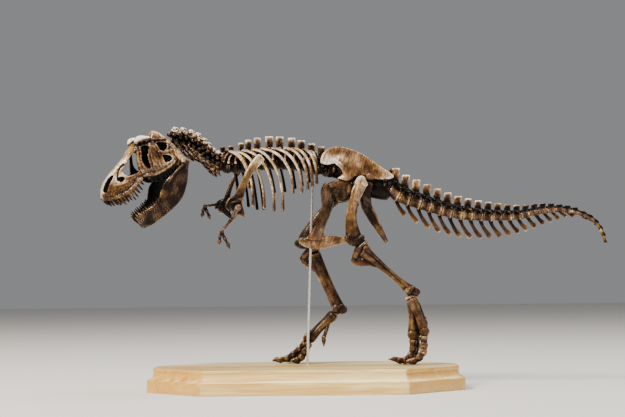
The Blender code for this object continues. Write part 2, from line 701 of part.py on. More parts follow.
def sacrum():
    """The fused vertebrae between the hip blades, with stubby side ribs that nearly reach them."""
    bone = Bone()
    start, end = trunk_lengths()[1][-1] + GAP, tail_lengths()[0] - GAP
    edges = [start + (end - start) * i / 5 for i in range(6)]
    column(bone, backbone, edges, [5.8, 5.6, 5.4, 5.2, 5.0], [8.5, 8.5, 8.5, 8, 7], [4.6, 4.6, 4.4, 4, 3.6])
    for i in range(5):
        at = (edges[i] + edges[i + 1]) / 2
        neural_spine(bone, backbone, at, 8, (24, 24, 23, 22, 20)[i], 7 if i < 4 else 5, 2.2)
    bone.fuse("sacrum", 280, resin)


def plate(bone, outline, side, top_y, low_y, half, rim=0.55):
    """A blade whose outline is given in x and z. It leans: top_y and low_y are (z, y) of its middle."""
    (z1, y1), (z0, y0) = top_y, low_y
    centre_x = sum(x for x, z in outline) / len(outline)
    centre_z = sum(z for x, z in outline) / len(outline)
    rings = []
    for shift, share in ((-1, 1 - 0.12 * rim), (-0.4, 1), (0.4, 1), (1, 1 - 0.12 * rim)):
        ring = []
        for x, z in outline:
            x, z = centre_x + (x - centre_x) * share, centre_z + (z - centre_z) * share
            y = y0 + (y1 - y0) * (z - z0) / (z1 - z0)
            ring.append((x, HIP_Y + side * (y + shift * half), z))
        rings.append(ring)
    bone.add(loft(rings))


ILIUM_CREST = [(15.5, 229), (18, 236), (23, 241), (31, 243.5), (41, 242.5), (51, 239), (61, 234), (71, 226.5),
               (81, 219), (88, 214.5), (90.5, 211.5)]
ILIUM_LOW = [(88, 209.5), (77, 208.5), (68, 209.5), (64, 212), (58, 213), (50, 210.5), (44, 209), (38.5, 211),
             (37, 218), (36, 223.5), (31, 226), (25, 224), (19, 225)]


def ilium(side, name):
    """The hip blade, leaning in towards its fellow at the crest."""
    bone = Bone()
    plate(bone, ILIUM_CREST + ILIUM_LOW, side, (243, 5.6), (209, 12.6), 1.6)
    bone.knob((41, HIP_Y + side * 12.6, 209), (4.5, 2.6, 3.6))
    bone.knob((66, HIP_Y + side * 12.4, 211.5), (3.6, 2.4, 3.2))
    bone.fuse(name, 170, resin)


def pubis():
    """Both pubic bones, joined down to the long boot."""
    bone = Bone()
    for side in (-1, 1):
        bone.bar([(36, HIP_Y + side * 11.5, 203), (26, HIP_Y + side * 10, 197), (22, HIP_Y + side * 6.5, 186),
                  (21, BOOT_Y + side * 4, 175), (16, BOOT_Y + side * 2.2, 163), (11, BOOT_Y + side * 1.0, 152)],
                 [3.8, 6.4, 6.4, 5.6, 5.2, 4.8], flat=0.6)
    bone.bar([(-4.5, BOOT_Y, 148.5), (5, BOOT_Y, 146.4), (18, BOOT_Y, 146.6), (31, BOOT_Y, 148.2),
              (41, BOOT_Y, 148.2)], [4.2, 6.4, 6.2, 5.0, 2.8], flat=0.56, steps=5)
    bone.fuse("pubis", 260, resin)


def ischium():
    """Both ischia: a plate below the hip joint, narrowing to a rod that runs down and back."""
    bone = Bone()
    for side in (-1, 1):
        bone.bar([(66, HIP_Y + side * 11, 204), (60, HIP_Y + side * 8, 193), (63, HIP_Y + side * 4, 180),
                  (70, HIP_Y + side * 2.6, 168), (77, HIP_Y + side * 2, 156), (81.5, HIP_Y + side * 1.8, 147)],
                 [3.6, 5.4, 5.4, 4.6, 3.2, 2.2], flat=0.7)
    bone.fuse("ischium", 200, resin)


# ---------------------------------------------------------------- legs


def femur(side, name, head, knee):
    """The thigh bone: head, neck and trochanter, a bowed shaft and two condyles."""
    bone = Bone()
    y = HIP_Y + side * HIP_HALF_WIDTH
    x0, z0 = head
    x1, z1 = knee
    bow = -6
    bone.knob((HIP_X, HIP_Y + side * 11.6, HIP_Z), 3.5)
    bone.bar([(HIP_X, HIP_Y + side * 12, HIP_Z), (x0, y, z0 - 1.5)], [3.2, 4.6])
    path = [(x0 + (x1 - x0) * t + bow * math.sin(math.pi * t), y, z0 + 1 + (z1 - z0 - 1) * t)
            for t in (0, 0.2, 0.4, 0.6, 0.8, 1.0)]
    bone.bar(path, [5.6, 5.0, 5.8, 6.8, 7.6, 8.0], flat=0.72)
    for offset in (-3.4, 3.4):
        bone.knob((x1 + 0.5, y + offset, z1 - 1), (8.3, 3.4, 5.8))
    bone.fuse(name, 170, resin)


def shin(side, suffix, knee, ankle, radii):
    """The tibia, with its crest in front, and the splint-like fibula beside it."""
    y = HIP_Y + side * HIP_HALF_WIDTH
    start, end = Vector((knee[0], y, knee[1])), Vector((ankle[0], y, ankle[1]))
    along = (end - start).normalized()
    front = Vector((along.z, 0, -along.x))
    tibia = Bone()
    tibia.bar([start.lerp(end, t) for t in (0, 0.15, 0.4, 0.7, 0.9, 1)], radii, flat=0.85)
    tibia.bar([start + front * 3, start + front * 9 + along * 4, start + front * 8 + along * 11,
               start + front * 2 + along * 21], [5.0, 4.2, 3.4, 2.4], flat=0.6)
    tibia.knob(end, (radii[-1] * 1.05, radii[-1] * 0.95, 4.2), Matrix((front, (0, 1, 0), along)).transposed())
    tibia.fuse(f"tibia_{suffix}", 160, resin)
    fibula = Bone()
    outside = Vector((0, side * (max(radii) * 0.85 + 2.6), 0))
    fibula.bar([start + outside - front * 4 - along, start.lerp(end, 0.2) + outside - front * 3.5,
                start.lerp(end, 0.6) + outside * 0.95 - front * 2.5,
                start.lerp(end, 0.88) + outside * 0.95 - front * 1.0], [2.2, 1.6, 1.2, 1.1])
    fibula.fuse(f"fibula_{suffix}", 60, resin)


def metatarsus(suffix, top, balls, splint):
    """Three long foot bones, pressed together at the ankle and apart at the toes, with a small one behind."""
    bone = Bone()
    top = Vector(top)
    bone.knob(top, (6.8, 6.2, 3.4))
    for number, ball in enumerate(balls):
        ball = Vector(ball)
        start = top + Vector((0, (ball.y - top.y) * 0.5, -0.5))
        radius = 4.0 if number == 1 else 3.6
        bone.bar([start, start.lerp(ball, 0.5) + Vector((0, 0, 0.6)), ball],
                 [radius * 1.1, radius * 0.8, radius * 1.05])
        bone.knob(ball, (radius * 1.15, radius, radius * 1.15))
    bone.bar(splint, [1.5, 1.5, 1.7, 0.8])
    bone.fuse(f"metatarsus_{suffix}", 230, resin)


def toe(name, joints):
    """A chain of toe bones with a knob at each joint, and a claw at the end."""
    bone = Bone()
    joints = [Vector(joint) for joint in joints]
    count = len(joints) - 1
    bone.bar(joints[:-1], [3.1, 2.6, 2.2], steps=2)
    for number, joint in enumerate(joints[:-1]):
        size = 3.3 - 0.8 * number / count
        bone.knob(joint, size)
    bone.spike(joints[-2], joints[-1], 2.1, sides=8)
    bone.fuse(name, 110, resin)


# ---------------------------------------------------------------- arms


def arm(side, suffix, elbow, wrist, fingers):
    """The shoulder blade, upper arm, forearm and two-fingered hand of one side."""
    at = backbone.nearest_x(-62)
    frame = backbone.frame(at)
    back = Vector((frame.col[0].x, frame.col[0].y, 0)).normalized()
    out = frame.col[1] * side
    middle = backbone.place(at)
    level = Vector((middle.x, middle.y, 0))

    def spot(run, spread, height):
        return level + back * run + out * spread + Vector((0, 0, height))

    blade = Bone()
    blade.bar([spot(13, 26.5, 230.5), spot(5, 29, 222), spot(-2, 29.5, 212), spot(-7, 28, 200), spot(-11, 25, 189)],
              [4.0, 4.8, 4.0, 4.0, 5.4], flat=0.42, across=out)
    blade.knob(spot(-15, 22.5, 184), (8.5, 2.4, 8), Matrix((back, out, Vector((0, 0, 1)))).transposed())
    blade.fuse(f"shoulder_blade_{suffix}", 120, resin)
    humerus = Bone()
    shoulder = spot(-13, 33.8, 180)
    humerus.knob(shoulder, 2.8)
    humerus.bar([shoulder, shoulder.lerp(elbow, 0.5) + Vector((-0.6, 0, 0)), elbow], [3.2, 2.5, 2.8])
    humerus.fuse(f"humerus_{suffix}", 64, resin)
    forearm = Bone()
    aim = (wrist - elbow).normalized()
    for shift in (-1.1, 1.1):
        forearm.bar([elbow + aim * 4.2 + Vector((0, shift, 0)), wrist + Vector((0, shift, 0))], [1.9, 1.5])
    forearm.fuse(f"forearm_{suffix}", 60, resin)
    hand = Bone()
    palm = wrist + aim * 3.4
    hand.knob(palm, (1.9, 2.2, 1.9))
    for tip in fingers:
        knuckle = palm.lerp(tip, 0.45) + Vector((-0.8, 0, 0.6))
        hand.bar([palm, knuckle, palm.lerp(tip, 0.75)], [1.6, 1.5, 1.5])
        hand.spike(palm.lerp(tip, 0.7), tip, 1.7)
    hand.fuse(f"hand_{suffix}", 100, resin)


clear_scene()
skeleton = new_collection("mounted_skeleton")
cutters = new_collection("cutters")
resin = new_material("bronzed resin", (0.16, 0.085, 0.035), 0.45)
wood = new_material("varnished pine", (0.72, 0.52, 0.28), 0.4)
steel = new_material("bright steel", (0.72, 0.71, 0.69), 0.25, metallic=1.0)
backbone = Spine(NECK_LINE + TRUNK_LINE + HIP_LINE + TAIL_LINE)

board()
rod()
skull()
lower_jaw()
neck()
trunk()
sacrum()
tail()
ilium(-1, "ilium_left")
ilium(1, "ilium_right")
pubis()
ischium()
femur(-1, "femur_left", (57, 203), (49, 149.5))
femur(1, "femur_right", (42, 199), (0, 149))
shin(-1, "left", (58.5, 137), (105, 97), (7.4, 5.4, 4.0, 3.4, 4.4, 5.8))
shin(1, "right", (8, 134), (32.5, 80), (7.6, 7.0, 6.2, 5.8, 6.4, 7.0))
metatarsus("left", (106, -1, 87.3), ((117.5, -7, 57), (106.5, -1, 54), (110.5, 6, 56)),
           ((112, 4, 85), (116, 5, 74), (118.5, 6, 68), (121.5, 6, 59)))
metatarsus("right", (27, 33.5, 71.5), ((5, 29.5, 50.5), (2, 35.5, 50), (6, 42, 51)),
           ((23, 31, 66), (20, 28.5, 57), (17.5, 27.5, 50), (17.5, 27.5, 41)))
toe("toe_left_outer", ((117, -8, 49.3), (117, -8.5, 42.5), (116, -9, 36), (112, -9.5, 30.5), (106, -10, 27.2),
                       (98, -10.5, 25.3)))
toe("toe_left_middle", ((106.5, -1, 45.8), (106.5, -1, 39), (104, -1.5, 32.5), (98, -2, 28), (92.5, -2, 27.8),
                        (81, -2, 29.2)))
toe("toe_left_inner", ((110.5, 6.5, 48.2), (110.5, 7, 41), (108.5, 7.5, 34), (104, 8, 28.8), (98, 8.5, 27),
                       (91, 9, 25.5)))
toe("toe_right_inner", ((1.5, 29.5, 42.5), (-1.5, 29.2, 36), (-5.5, 29, 30), (-10, 29, 27), (-17, 28.8, 25.3)))
toe("toe_right_middle", ((-3, 35.5, 43), (-7.5, 35.5, 38.3), (-14, 35.5, 33), (-20.5, 35.5, 28.9),
                         (-27.5, 35.5, 27.8), (-36, 35.5, 26.3)))
toe("toe_right_outer", ((0, 43, 43.5), (-5, 44, 37), (-11, 45, 31.5), (-18, 45.5, 27.4), (-27, 46, 25.5)))
arm(-1, "left", Vector((-69, -27, 172)), Vector((-79, -26, 160)),
    (Vector((-84, -28, 143.5)), Vector((-73, -25, 139.5))))
arm(1, "right", Vector((-85, 20, 186.5)), Vector((-98, 18, 185.5)),
    (Vector((-104.5, 16, 173)), Vector((-96, 19, 171))))
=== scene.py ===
"""A desk-size Tyrannosaurus skeleton, cast in bronzed resin and mounted on a varnished pine board.

The frame is in metres: +Z up, the animal faces -X and its left side faces -Y. Shapes are worked
out in millimetres and brought to metres as each mesh is made.
"""

import math

import bpy
import numpy as np
from mathutils import Matrix, Vector


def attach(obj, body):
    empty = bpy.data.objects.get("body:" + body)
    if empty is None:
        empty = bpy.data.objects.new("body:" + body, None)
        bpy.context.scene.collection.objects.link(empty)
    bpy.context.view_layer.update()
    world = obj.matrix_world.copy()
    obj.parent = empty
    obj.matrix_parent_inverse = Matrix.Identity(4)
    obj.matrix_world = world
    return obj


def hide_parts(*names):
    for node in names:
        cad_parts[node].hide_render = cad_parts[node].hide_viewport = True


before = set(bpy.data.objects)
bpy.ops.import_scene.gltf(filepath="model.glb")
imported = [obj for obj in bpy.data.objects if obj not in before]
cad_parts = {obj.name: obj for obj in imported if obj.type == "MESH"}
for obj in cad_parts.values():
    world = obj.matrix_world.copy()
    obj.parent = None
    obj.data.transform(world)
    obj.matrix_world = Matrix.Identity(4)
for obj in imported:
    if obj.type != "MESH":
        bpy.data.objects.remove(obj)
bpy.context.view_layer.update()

# ------------------------------------------------------------------ the board
# A clipped-corner pine board, routed round its edge with a cove between two upright bands and
# given a coat of clear satin varnish. The figure's feet and the rod stand on it.

MM = 0.001
BOARD_LENGTH, BOARD_DEPTH, BOARD_HEIGHT = 312, 164, 23.6
BOARD_CLIP = 58  # taken off each corner, at 45 degrees
BAND_HEIGHT = 12  # the upright edge below the cove
TOP_BAND_HEIGHT = 3
COVE_INSET = 7


def closed_skin(rings, first=None, last=None):
    """Joins a grid of points (ring, place on the ring) into a tube, closed at each end on one point."""
    rows, sides = rings.shape[:2]
    first = rings[0].mean(0) if first is None else first
    last = rings[-1].mean(0) if last is None else last
    row, place = np.meshgrid(np.arange(rows - 1), np.arange(sides), indexing="ij")
    a, b = row * sides + place, row * sides + (place + 1) % sides
    quads = np.stack([a, b, b + sides, a + sides], -1).reshape(-1, 4)
    here = np.arange(sides)
    after, end = (here + 1) % sides, (rows - 1) * sides
    fans = np.vstack([np.stack([after, here, 0 * here + rows * sides], 1),
                      np.stack([end + here, end + after, 0 * here + rows * sides + 1], 1)])
    points = np.vstack([rings.reshape(-1, 3), first, last])
    # its faces are turned over where the volume they enclose comes out negative
    corners = [points[quads[:, k]] for k in range(4)]
    volume = (np.einsum("ij,ij", corners[0], np.cross(corners[1], corners[2]))
              + np.einsum("ij,ij", corners[0], np.cross(corners[2], corners[3]))
              + np.einsum("ij,ij", points[fans[:, 0]], np.cross(points[fans[:, 1]], points[fans[:, 2]])))
    return (points, quads, fans) if volume > 0 else (points, quads[:, ::-1], fans[:, ::-1])


def mesh_of(name, shells, scale=1.0):
    """One mesh of several closed skins."""
    starts = np.cumsum([0] + [len(points) for points, _, _ in shells])
    faces = []
    for start, (_, quads, fans) in zip(starts, shells):
        faces += (quads + start).tolist() + (fans + start).tolist()
    mesh = bpy.data.meshes.new(name)
    mesh.from_pydata((np.vstack([points for points, _, _ in shells]) * scale).tolist(), [], faces)
    return mesh


def in_scene(name, data):
    """A new object with this data, linked to the scene."""
    thing = bpy.data.objects.new(name, data)
    bpy.context.scene.collection.objects.link(thing)
    return thing


def show(name, mesh, material, stands_for):
    """Puts a finished mesh in the scene as a piece that stands for CAD nodes."""
    piece = in_scene(name, mesh)
    mesh.materials.clear()
    mesh.materials.append(material)
    mesh.shade_smooth()
    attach(piece, "root")
    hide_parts(*stands_for.split())
    return piece


def linear(code):
    """The linear colour of an sRGB hex code, with alpha."""
    parts = [int(code[i:i + 2], 16) / 255 for i in (1, 3, 5)]
    return (*[c / 12.92 if c <= 0.04045 else ((c + 0.055) / 1.055) ** 2.4 for c in parts], 1.0)


def add(tree, kind, inputs=None, stops=None, **settings):
    """Adds a node. inputs are its sockets' values, or the outputs that are linked to them."""
    made = tree.nodes.new("ShaderNode" + kind)
    for name, value in settings.items():
        setattr(made, name, value)
    for key, value in (inputs or {}).items():
        if isinstance(value, bpy.types.NodeSocket):
            tree.links.new(value, made.inputs[key])
        else:
            made.inputs[key].default_value = value
    if stops:
        ramp = made.color_ramp
        while len(ramp.elements) < len(stops):
            ramp.elements.new(0.5)
        for element, (place, code) in zip(ramp.elements, stops):
            element.position, element.color = place, linear(code)
    return made


def blank_material(name):
    """A new material, its node tree and its shader."""
    material = bpy.data.materials.new(name)
    material.use_nodes = True
    tree = material.node_tree
    return material, tree, tree.nodes["Principled BSDF"]


# Satin-varnished pine, planed and sanded: pale cream wood with soft lengthwise grain 2 to 6 mm apart,
# a warmer tone where the clipped corners cut across the fibres, and a thin gloss of varnish.
varnished_pine, tree, shader = blank_material("satin_varnished_pine")
where = add(tree, "TexCoord").outputs["Object"]
drawn = add(tree, "Mapping", {"Vector": where, "Scale": (0.06, 1, 1)}).outputs[0]
bend = add(tree, "TexNoise", {"Vector": drawn, "Scale": 30.0, "Detail": 2.0}).outputs["Fac"]
rings = add(tree, "TexNoise", {"Vector": drawn, "Scale": 210.0, "Detail": 5.0, "Roughness": 0.55,
                               "Distortion": 0.6}).outputs["Fac"]
fibre = add(tree, "TexNoise", {"Vector": drawn, "Scale": 1500.0, "Detail": 3.0}).outputs["Fac"]
figure = add(tree, "Math", {0: rings, 1: bend}, operation="MULTIPLY").outputs[0]
grain = add(tree, "ValToRGB", {"Fac": figure}, stops=[
    (0.13, "#b88536"), (0.19, "#daae5a"), (0.26, "#f0cf82"), (0.36, "#fbe6ac")]).outputs["Color"]
facing = add(tree, "SeparateXYZ", {0: add(tree, "NewGeometry").outputs["Normal"]}).outputs["X"]
across = add(tree, "Math", {0: facing}, operation="ABSOLUTE").outputs[0]
cut_end = add(tree, "MapRange", {"Value": across, "From Min": 0.45, "From Max": 0.7}).outputs[0]
speck = add(tree, "TexNoise", {"Vector": where, "Scale": 900.0, "Detail": 3.0}).outputs["Fac"]
end_tone = add(tree, "ValToRGB", {"Fac": speck},
               stops=[(0.3, "#bd7f22"), (0.6, "#ecb34a")]).outputs["Color"]
end_mix = add(tree, "Math", {0: cut_end, 1: 0.75}, operation="MULTIPLY").outputs[0]
wood_colour = add(tree, "MixRGB", {"Fac": end_mix, "Color1": grain, "Color2": end_tone}).outputs[0]
tree.links.new(wood_colour, shader.inputs["Base Color"])
tree.links.new(add(tree, "MapRange", {"Value": fibre, "To Min": 0.3, "To Max": 0.46}).outputs[0],
               shader.inputs["Roughness"])
tree.links.new(add(tree, "Bump", {"Height": fibre, "Strength": 0.12, "Distance": 0.0002}).outputs[0],
               shader.inputs["Normal"])
shader.inputs["IOR"].default_value = 1.5
shader.inputs["Coat Weight"].default_value = 0.5
shader.inputs["Coat Roughness"].default_value = 0.18


def board_skin():
    """Rings of the board's outline, one per level. A ring at height z is the clipped rectangle moved
    in by inset(z): upright, then a quarter circle bulging inwards, then upright again."""
    turn = np.linspace(0, math.pi / 2, 17)
    cove = BOARD_HEIGHT - TOP_BAND_HEIGHT - BAND_HEIGHT
    height = np.concatenate([[0, 0.01, BAND_HEIGHT], BAND_HEIGHT + cove * (1 - np.cos(turn)),
                             [BOARD_HEIGHT - TOP_BAND_HEIGHT + 0.01, BOARD_HEIGHT, BOARD_HEIGHT]])
    inset = np.concatenate([[0.8, 0, 0], 0.9 + (COVE_INSET - 1.5) * np.sin(turn), [COVE_INSET - 1.2] * 2,
                            [COVE_INSET + 4]])
    half_x, half_y = BOARD_LENGTH / 2 - inset, BOARD_DEPTH / 2 - inset
    clip = BOARD_CLIP - inset * (2 - math.sqrt(2))
    near = np.stack([np.stack([half_x - clip, -half_y], 1), np.stack([half_x, clip - half_y], 1),
                     np.stack([half_x, half_y - clip], 1), np.stack([half_x - clip, half_y], 1)], 1)
    corners = np.concatenate([near, -near], 1)
    share = np.linspace(0, 1, 12, endpoint=False)[:, None]
    sides = corners[:, :, None] * (1 - share) + np.roll(corners, -1, 1)[:, :, None] * share
    outline = sides.reshape(len(height), -1, 2)
    return closed_skin(np.dstack([outline, np.broadcast_to(height[:, None], outline.shape[:2])]))


board = show("pine_board", mesh_of("pine_board", [board_skin()], MM), varnished_pine, "base_board")
eased = board.modifiers.new("eased edges", "BEVEL")
eased.limit_method, eased.angle_limit = "ANGLE", math.radians(30)
eased.width, eased.segments = 0.0005, 2

# ------------------------------------------------------------------ the rod
# Bright drawn steel rod, 2.6 mm thick, set in the board and glued up into the rib cage. It carries
# the figure's weight.

ROD_RADIUS = 1.3
ROD_FOOT, ROD_TOP = np.array((0.5, 24, 14.6)), np.array((8.0, 19, 220.5))


def catmull(points, steps):
    """A smooth line through the points: the Catmull-Rom cubic of each four neighbours in turn."""
    p = np.asarray(points, float)
    p = np.vstack([2 * p[0] - p[1], p, 2 * p[-1] - p[-2]])
    t = np.arange(steps)[:, None] / steps
    a, b, c, d = p[:-3, None], p[1:-2, None], p[2:-1, None], p[3:, None]
    line = 0.5 * (2 * b + (c - a) * t + (2 * a - 5 * b + 4 * c - d) * t ** 2
                  + (3 * b - a - 3 * c + d) * t ** 3)
    return np.vstack([line.reshape(-1, p.shape[1]), p[-2]])


def unit(vectors):
    """Each vector divided by its length."""
    vectors = np.asarray(vectors, float)
    return vectors / np.linalg.norm(vectors, axis=-1, keepdims=True)


def squarish(turn, power):
    """cos(turn)^power and sin(turn)^power, each with its own sign: a round, squarer as power falls."""
    return [np.sign(wave) * np.abs(wave) ** power for wave in (np.cos(turn), np.sin(turn))]


def tube(stations, across=(0, 1, 0), sides=14, steps=5, power=1.0, dome=0.9):
    """A skin round a smooth line of stations (x, y, z, half width, half depth). Each ring is
    centre + width cos(turn)^power side + depth sin(turn)^power front, where side is the part of
    `across` square to the line. Both ends are domed."""
    stations = np.asarray(stations, float)
    line = catmull(stations, steps)
    centre, wide, deep = line[:, :3], np.maximum(line[:, 3], 0.05), np.maximum(line[:, -1], 0.05)
    along = unit(np.gradient(centre, axis=0))
    across = np.asarray(across, float)
    across = catmull(across, steps) if across.ndim == 2 else np.broadcast_to(across, along.shape)
    side = unit(across - along * (along * across).sum(1)[:, None])
    bulge = np.linspace(0, math.pi / 2, 5)[1:-1]
    reach = dome * np.minimum(wide, deep)
    parts = []
    for end, sign, order in ((0, -1, bulge[::-1]), (-1, 1, bulge)):
        parts.append((centre[end] + sign * along[end] * reach[end] * np.sin(order)[:, None],
                      wide[end] * np.cos(order), deep[end] * np.cos(order),
                      np.repeat(along[end][None], 3, 0), np.repeat(side[end][None], 3, 0)))
    centres, widths, depths, alongs, side_rows = [
        np.concatenate([parts[0][k], middle, parts[1][k]])
        for k, middle in enumerate((centre, wide, deep, along, side))]
    turn = np.linspace(0, math.tau, sides, endpoint=False)
    c, s = squarish(turn, power)
    front = np.cross(alongs, side_rows)
    rings = (centres[:, None] + (widths[:, None] * c)[..., None] * side_rows[:, None]
             + (depths[:, None] * s)[..., None] * front[:, None])
    return closed_skin(rings, centre[0] - along[0] * reach[0], centre[-1] + along[-1] * reach[-1])


# Bright drawn steel: a clean mirror-like metal whose long, fine drawing lines spread its highlight.
bright_steel, tree, shader = blank_material("bright_drawn_steel")
where = add(tree, "TexCoord").outputs["Object"]
drawn = add(tree, "Mapping", {"Vector": where, "Scale": (1, 1, 0.01)}).outputs[0]
line_marks = add(tree, "TexNoise", {"Vector": drawn, "Scale": 4000.0, "Detail": 2.0}).outputs["Fac"]
shader.inputs["Base Color"].default_value = linear("#e6e4e0")
shader.inputs["Metallic"].default_value = 1.0
tree.links.new(add(tree, "MapRange", {"Value": line_marks, "To Min": 0.24, "To Max": 0.42}).outputs[0],
               shader.inputs["Roughness"])
tree.links.new(add(tree, "Bump", {"Height": line_marks, "Strength": 0.1, "Distance": 0.00005}).outputs[0],
               shader.inputs["Normal"])

rod_line = [(*(ROD_FOOT + (ROD_TOP - ROD_FOOT) * t), ROD_RADIUS) for t in (0, 0.004, 0.5, 0.996, 1)]
show("support_rod_steel", mesh_of("support_rod_steel", [tube(rod_line, sides=32, steps=6, dome=0.4)], MM),
     bright_steel, "support_rod")

# ------------------------------------------------------------------ neck
# Nine neck vertebrae, moulded one by one and glued in a row: a spool-shaped body, knobs where each
# meets the next, a short spine with a rough knobbed top, and a pair of thin ribs that trail back.

# the line through the middle of the vertebrae, from the skull to the tip of the tail
NECK_LINE = [(-129.5, -27.5, 245), (-119, -23, 244.5), (-109, -19, 239.5), (-99, -16, 232),
             (-90, -13, 226), (-81, -10, 222.5)]
TRUNK_LINE = [(-71, -6.5, 221.5), (-57, -2, 223.5), (-43, 3, 225), (-23, 9, 226), (-3, 13.2, 224.5),
              (12, 15.4, 221), (24, 16, 218.5)]
HIP_LINE = [(38, 16, 216), (54, 16, 212.5), (72, 16, 207), (87, 16, 199)]
TAIL_LINE = [(98, 16, 191.7), (120, 16.5, 184), (142, 17, 177), (162, 17.5, 173), (189, 18.5, 171),
             (217, 20, 171.6), (242, 21, 176.5), (265, 22, 176.5), (287, 22.5, 169.5), (298, 23, 159),
             (304.5, 23, 142.5)]
BACKBONE = catmull(NECK_LINE + TRUNK_LINE + HIP_LINE + TAIL_LINE, 12)
BACKBONE_AT = np.concatenate([[0], np.cumsum(np.linalg.norm(np.diff(BACKBONE, axis=0), axis=1))])
NECK_VERTEBRAE = 9
TRUNK_SPINES_AT = (-81, -73, -63, -56, -47, -35, -24, -13.5, -2.5, 7, 17)
SIDES = (("left", -1), ("right", 1))

# Cast resin, stained and rubbed to look like bronze-brown bone: a near-black wash lies in the hollows,
# deepened by painted shade from ambient occlusion where bones crowd together, ochre and chestnut patches on
# the faces, and rubbed edges show pale bone; a soft waxy gloss over all.
bronzed_resin, tree, shader = blank_material("rubbed_bronze_cast_resin")
where = add(tree, "TexCoord").outputs["Object"]
fibres = add(tree, "Attribute", attribute_name="fibre").outputs["Vector"]
worn = add(tree, "Attribute", attribute_name="worn").outputs["Fac"]
# the tone attribute holds each piece's own lightness together with painted light and shade: paler tops and
# outer faces, darker undersides, inner faces and far-side pieces
tone_and_painted_light = add(tree, "Attribute", attribute_name="tone_and_painted_light").outputs["Fac"]
uneven = add(tree, "TexNoise", {"Vector": where, "Scale": 240.0, "Detail": 2.0}).outputs["Fac"]
uneven = add(tree, "MapRange", {"Value": uneven, "From Min": 0.36, "From Max": 0.62, "To Min": 0.3,
                                "To Max": 1.25}).outputs[0]
worn = add(tree, "Math", {0: worn, 1: uneven}, operation="MULTIPLY").outputs[0]
# painted shade: ambient occlusion darkens the resin in deep hollows and where bones lie close together
painted_occlusion_shade = add(tree, "AmbientOcclusion", {"Distance": 0.009}, samples=8).outputs["AO"]
cloud = add(tree, "TexNoise", {"Vector": where, "Scale": 110.0, "Detail": 4.0,
                               "Roughness": 0.6}).outputs["Fac"]
streak = add(tree, "TexNoise", {"Vector": fibres, "Scale": 560.0, "Detail": 4.0, "Roughness": 0.6,
                                "Distortion": 0.3}).outputs["Fac"]
pits = add(tree, "TexNoise", {"Vector": where, "Scale": 1100.0, "Detail": 3.0}).outputs["Fac"]
level = add(tree, "Math", {0: cloud, 1: 0.7, 2: -0.35}, operation="MULTIPLY_ADD").outputs[0]
for part, share, shift in ((streak, 0.5, -0.25), (worn, 1.0, 0.0), (painted_occlusion_shade, 0.55, -0.56),
                           (tone_and_painted_light, 1.0, 0.0)):
    level = add(tree, "Math", {0: part, 1: share, 2: add(tree, "Math", {0: level, 1: shift}).outputs[0]},
                operation="MULTIPLY_ADD").outputs[0]
brown = add(tree, "ValToRGB", {"Fac": level}, stops=[
    (0.0, "#070302"), (0.25, "#190e08"), (0.46, "#442b17"), (0.62, "#6d4e30"), (0.8, "#a88c6c"),
    (1.0, "#ebe4de")]).outputs["Color"]
ochre = add(tree, "ValToRGB", {"Fac": level}, stops=[
    (0.0, "#080402"), (0.25, "#1f1206"), (0.45, "#4e3312"), (0.62, "#795828"), (0.8, "#b39663"),
    (1.0, "#ece2d2")]).outputs["Color"]
patch = add(tree, "TexNoise", {"Vector": where, "Scale": 60.0, "Detail": 3.0}).outputs["Fac"]
patch = add(tree, "MapRange", {"Value": patch, "From Min": 0.46, "From Max": 0.64}).outputs[0]
stain = add(tree, "MixRGB", {"Fac": patch, "Color1": brown, "Color2": ochre}).outputs[0]
tree.links.new(stain, shader.inputs["Base Color"])
tree.links.new(add(tree, "MapRange", {"Value": level, "From Min": 0.0, "From Max": 1.0, "To Min": 0.42,
                                      "To Max": 0.26}).outputs[0], shader.inputs["Roughness"])
dents = add(tree, "Bump", {"Height": pits, "Strength": 0.3, "Distance": 0.0003}).outputs[0]
drawn_lines = add(tree, "Bump", {"Height": streak, "Normal": dents, "Strength": 0.45, "Distance": 0.0005})
tree.links.new(drawn_lines.outputs[0], shader.inputs["Normal"])
shader.inputs["IOR"].default_value = 1.5
shader.inputs["Specular IOR Level"].default_value = 0.12
waxed = add(tree, "MapRange", {"Value": level, "From Min": 0.25, "From Max": 0.7, "To Max": 0.85})
tree.links.new(waxed.outputs[0], shader.inputs["Coat Weight"])
shader.inputs["Coat Roughness"].default_value = 0.17

WAVES, WAVE_SUM = 28, 7.5  # how many sine waves, and about the most that they add up to
rng = np.random.default_rng(11)
WAVE_AIMS, WAVE_STARTS = unit(rng.normal(size=(WAVES, 3))), rng.uniform(0, math.tau, WAVES)


def ripple(points, size):
    """A smooth uneven height, about -1 to 1: the sum of sine waves, size mm long, that run all ways."""
    return np.sin(points @ WAVE_AIMS.T * (math.tau / size) + WAVE_STARTS).sum(1) / WAVE_SUM


# Wear is read at two sizes: rounds of neighbours, how far a fully rubbed edge stands out in mm, and
# how much that adds. The streaks of the stain are drawn out along the bone by this share.
FINE_WEAR, BROAD_WEAR, DRAWN_OUT = (4, 0.08, 0.22), (20, 0.42, 0.24), 0.92


def stand_out(points, edges, normals, rounds):
    """How far each point stands out from its surroundings: its place less the mean taken over that
    many rounds of neighbours, measured along its normal."""
    total = len(points)
    count = np.bincount(edges.ravel(), minlength=total)[:, None]
    soft = points
    for _ in range(rounds):
        sums = [np.bincount(edges[:, 0], soft[edges[:, 1], k], total)
                + np.bincount(edges[:, 1], soft[edges[:, 0], k], total) for k in range(3)]
        soft = np.stack(sums, 1) / count
    return ((points - soft) * normals).sum(1)


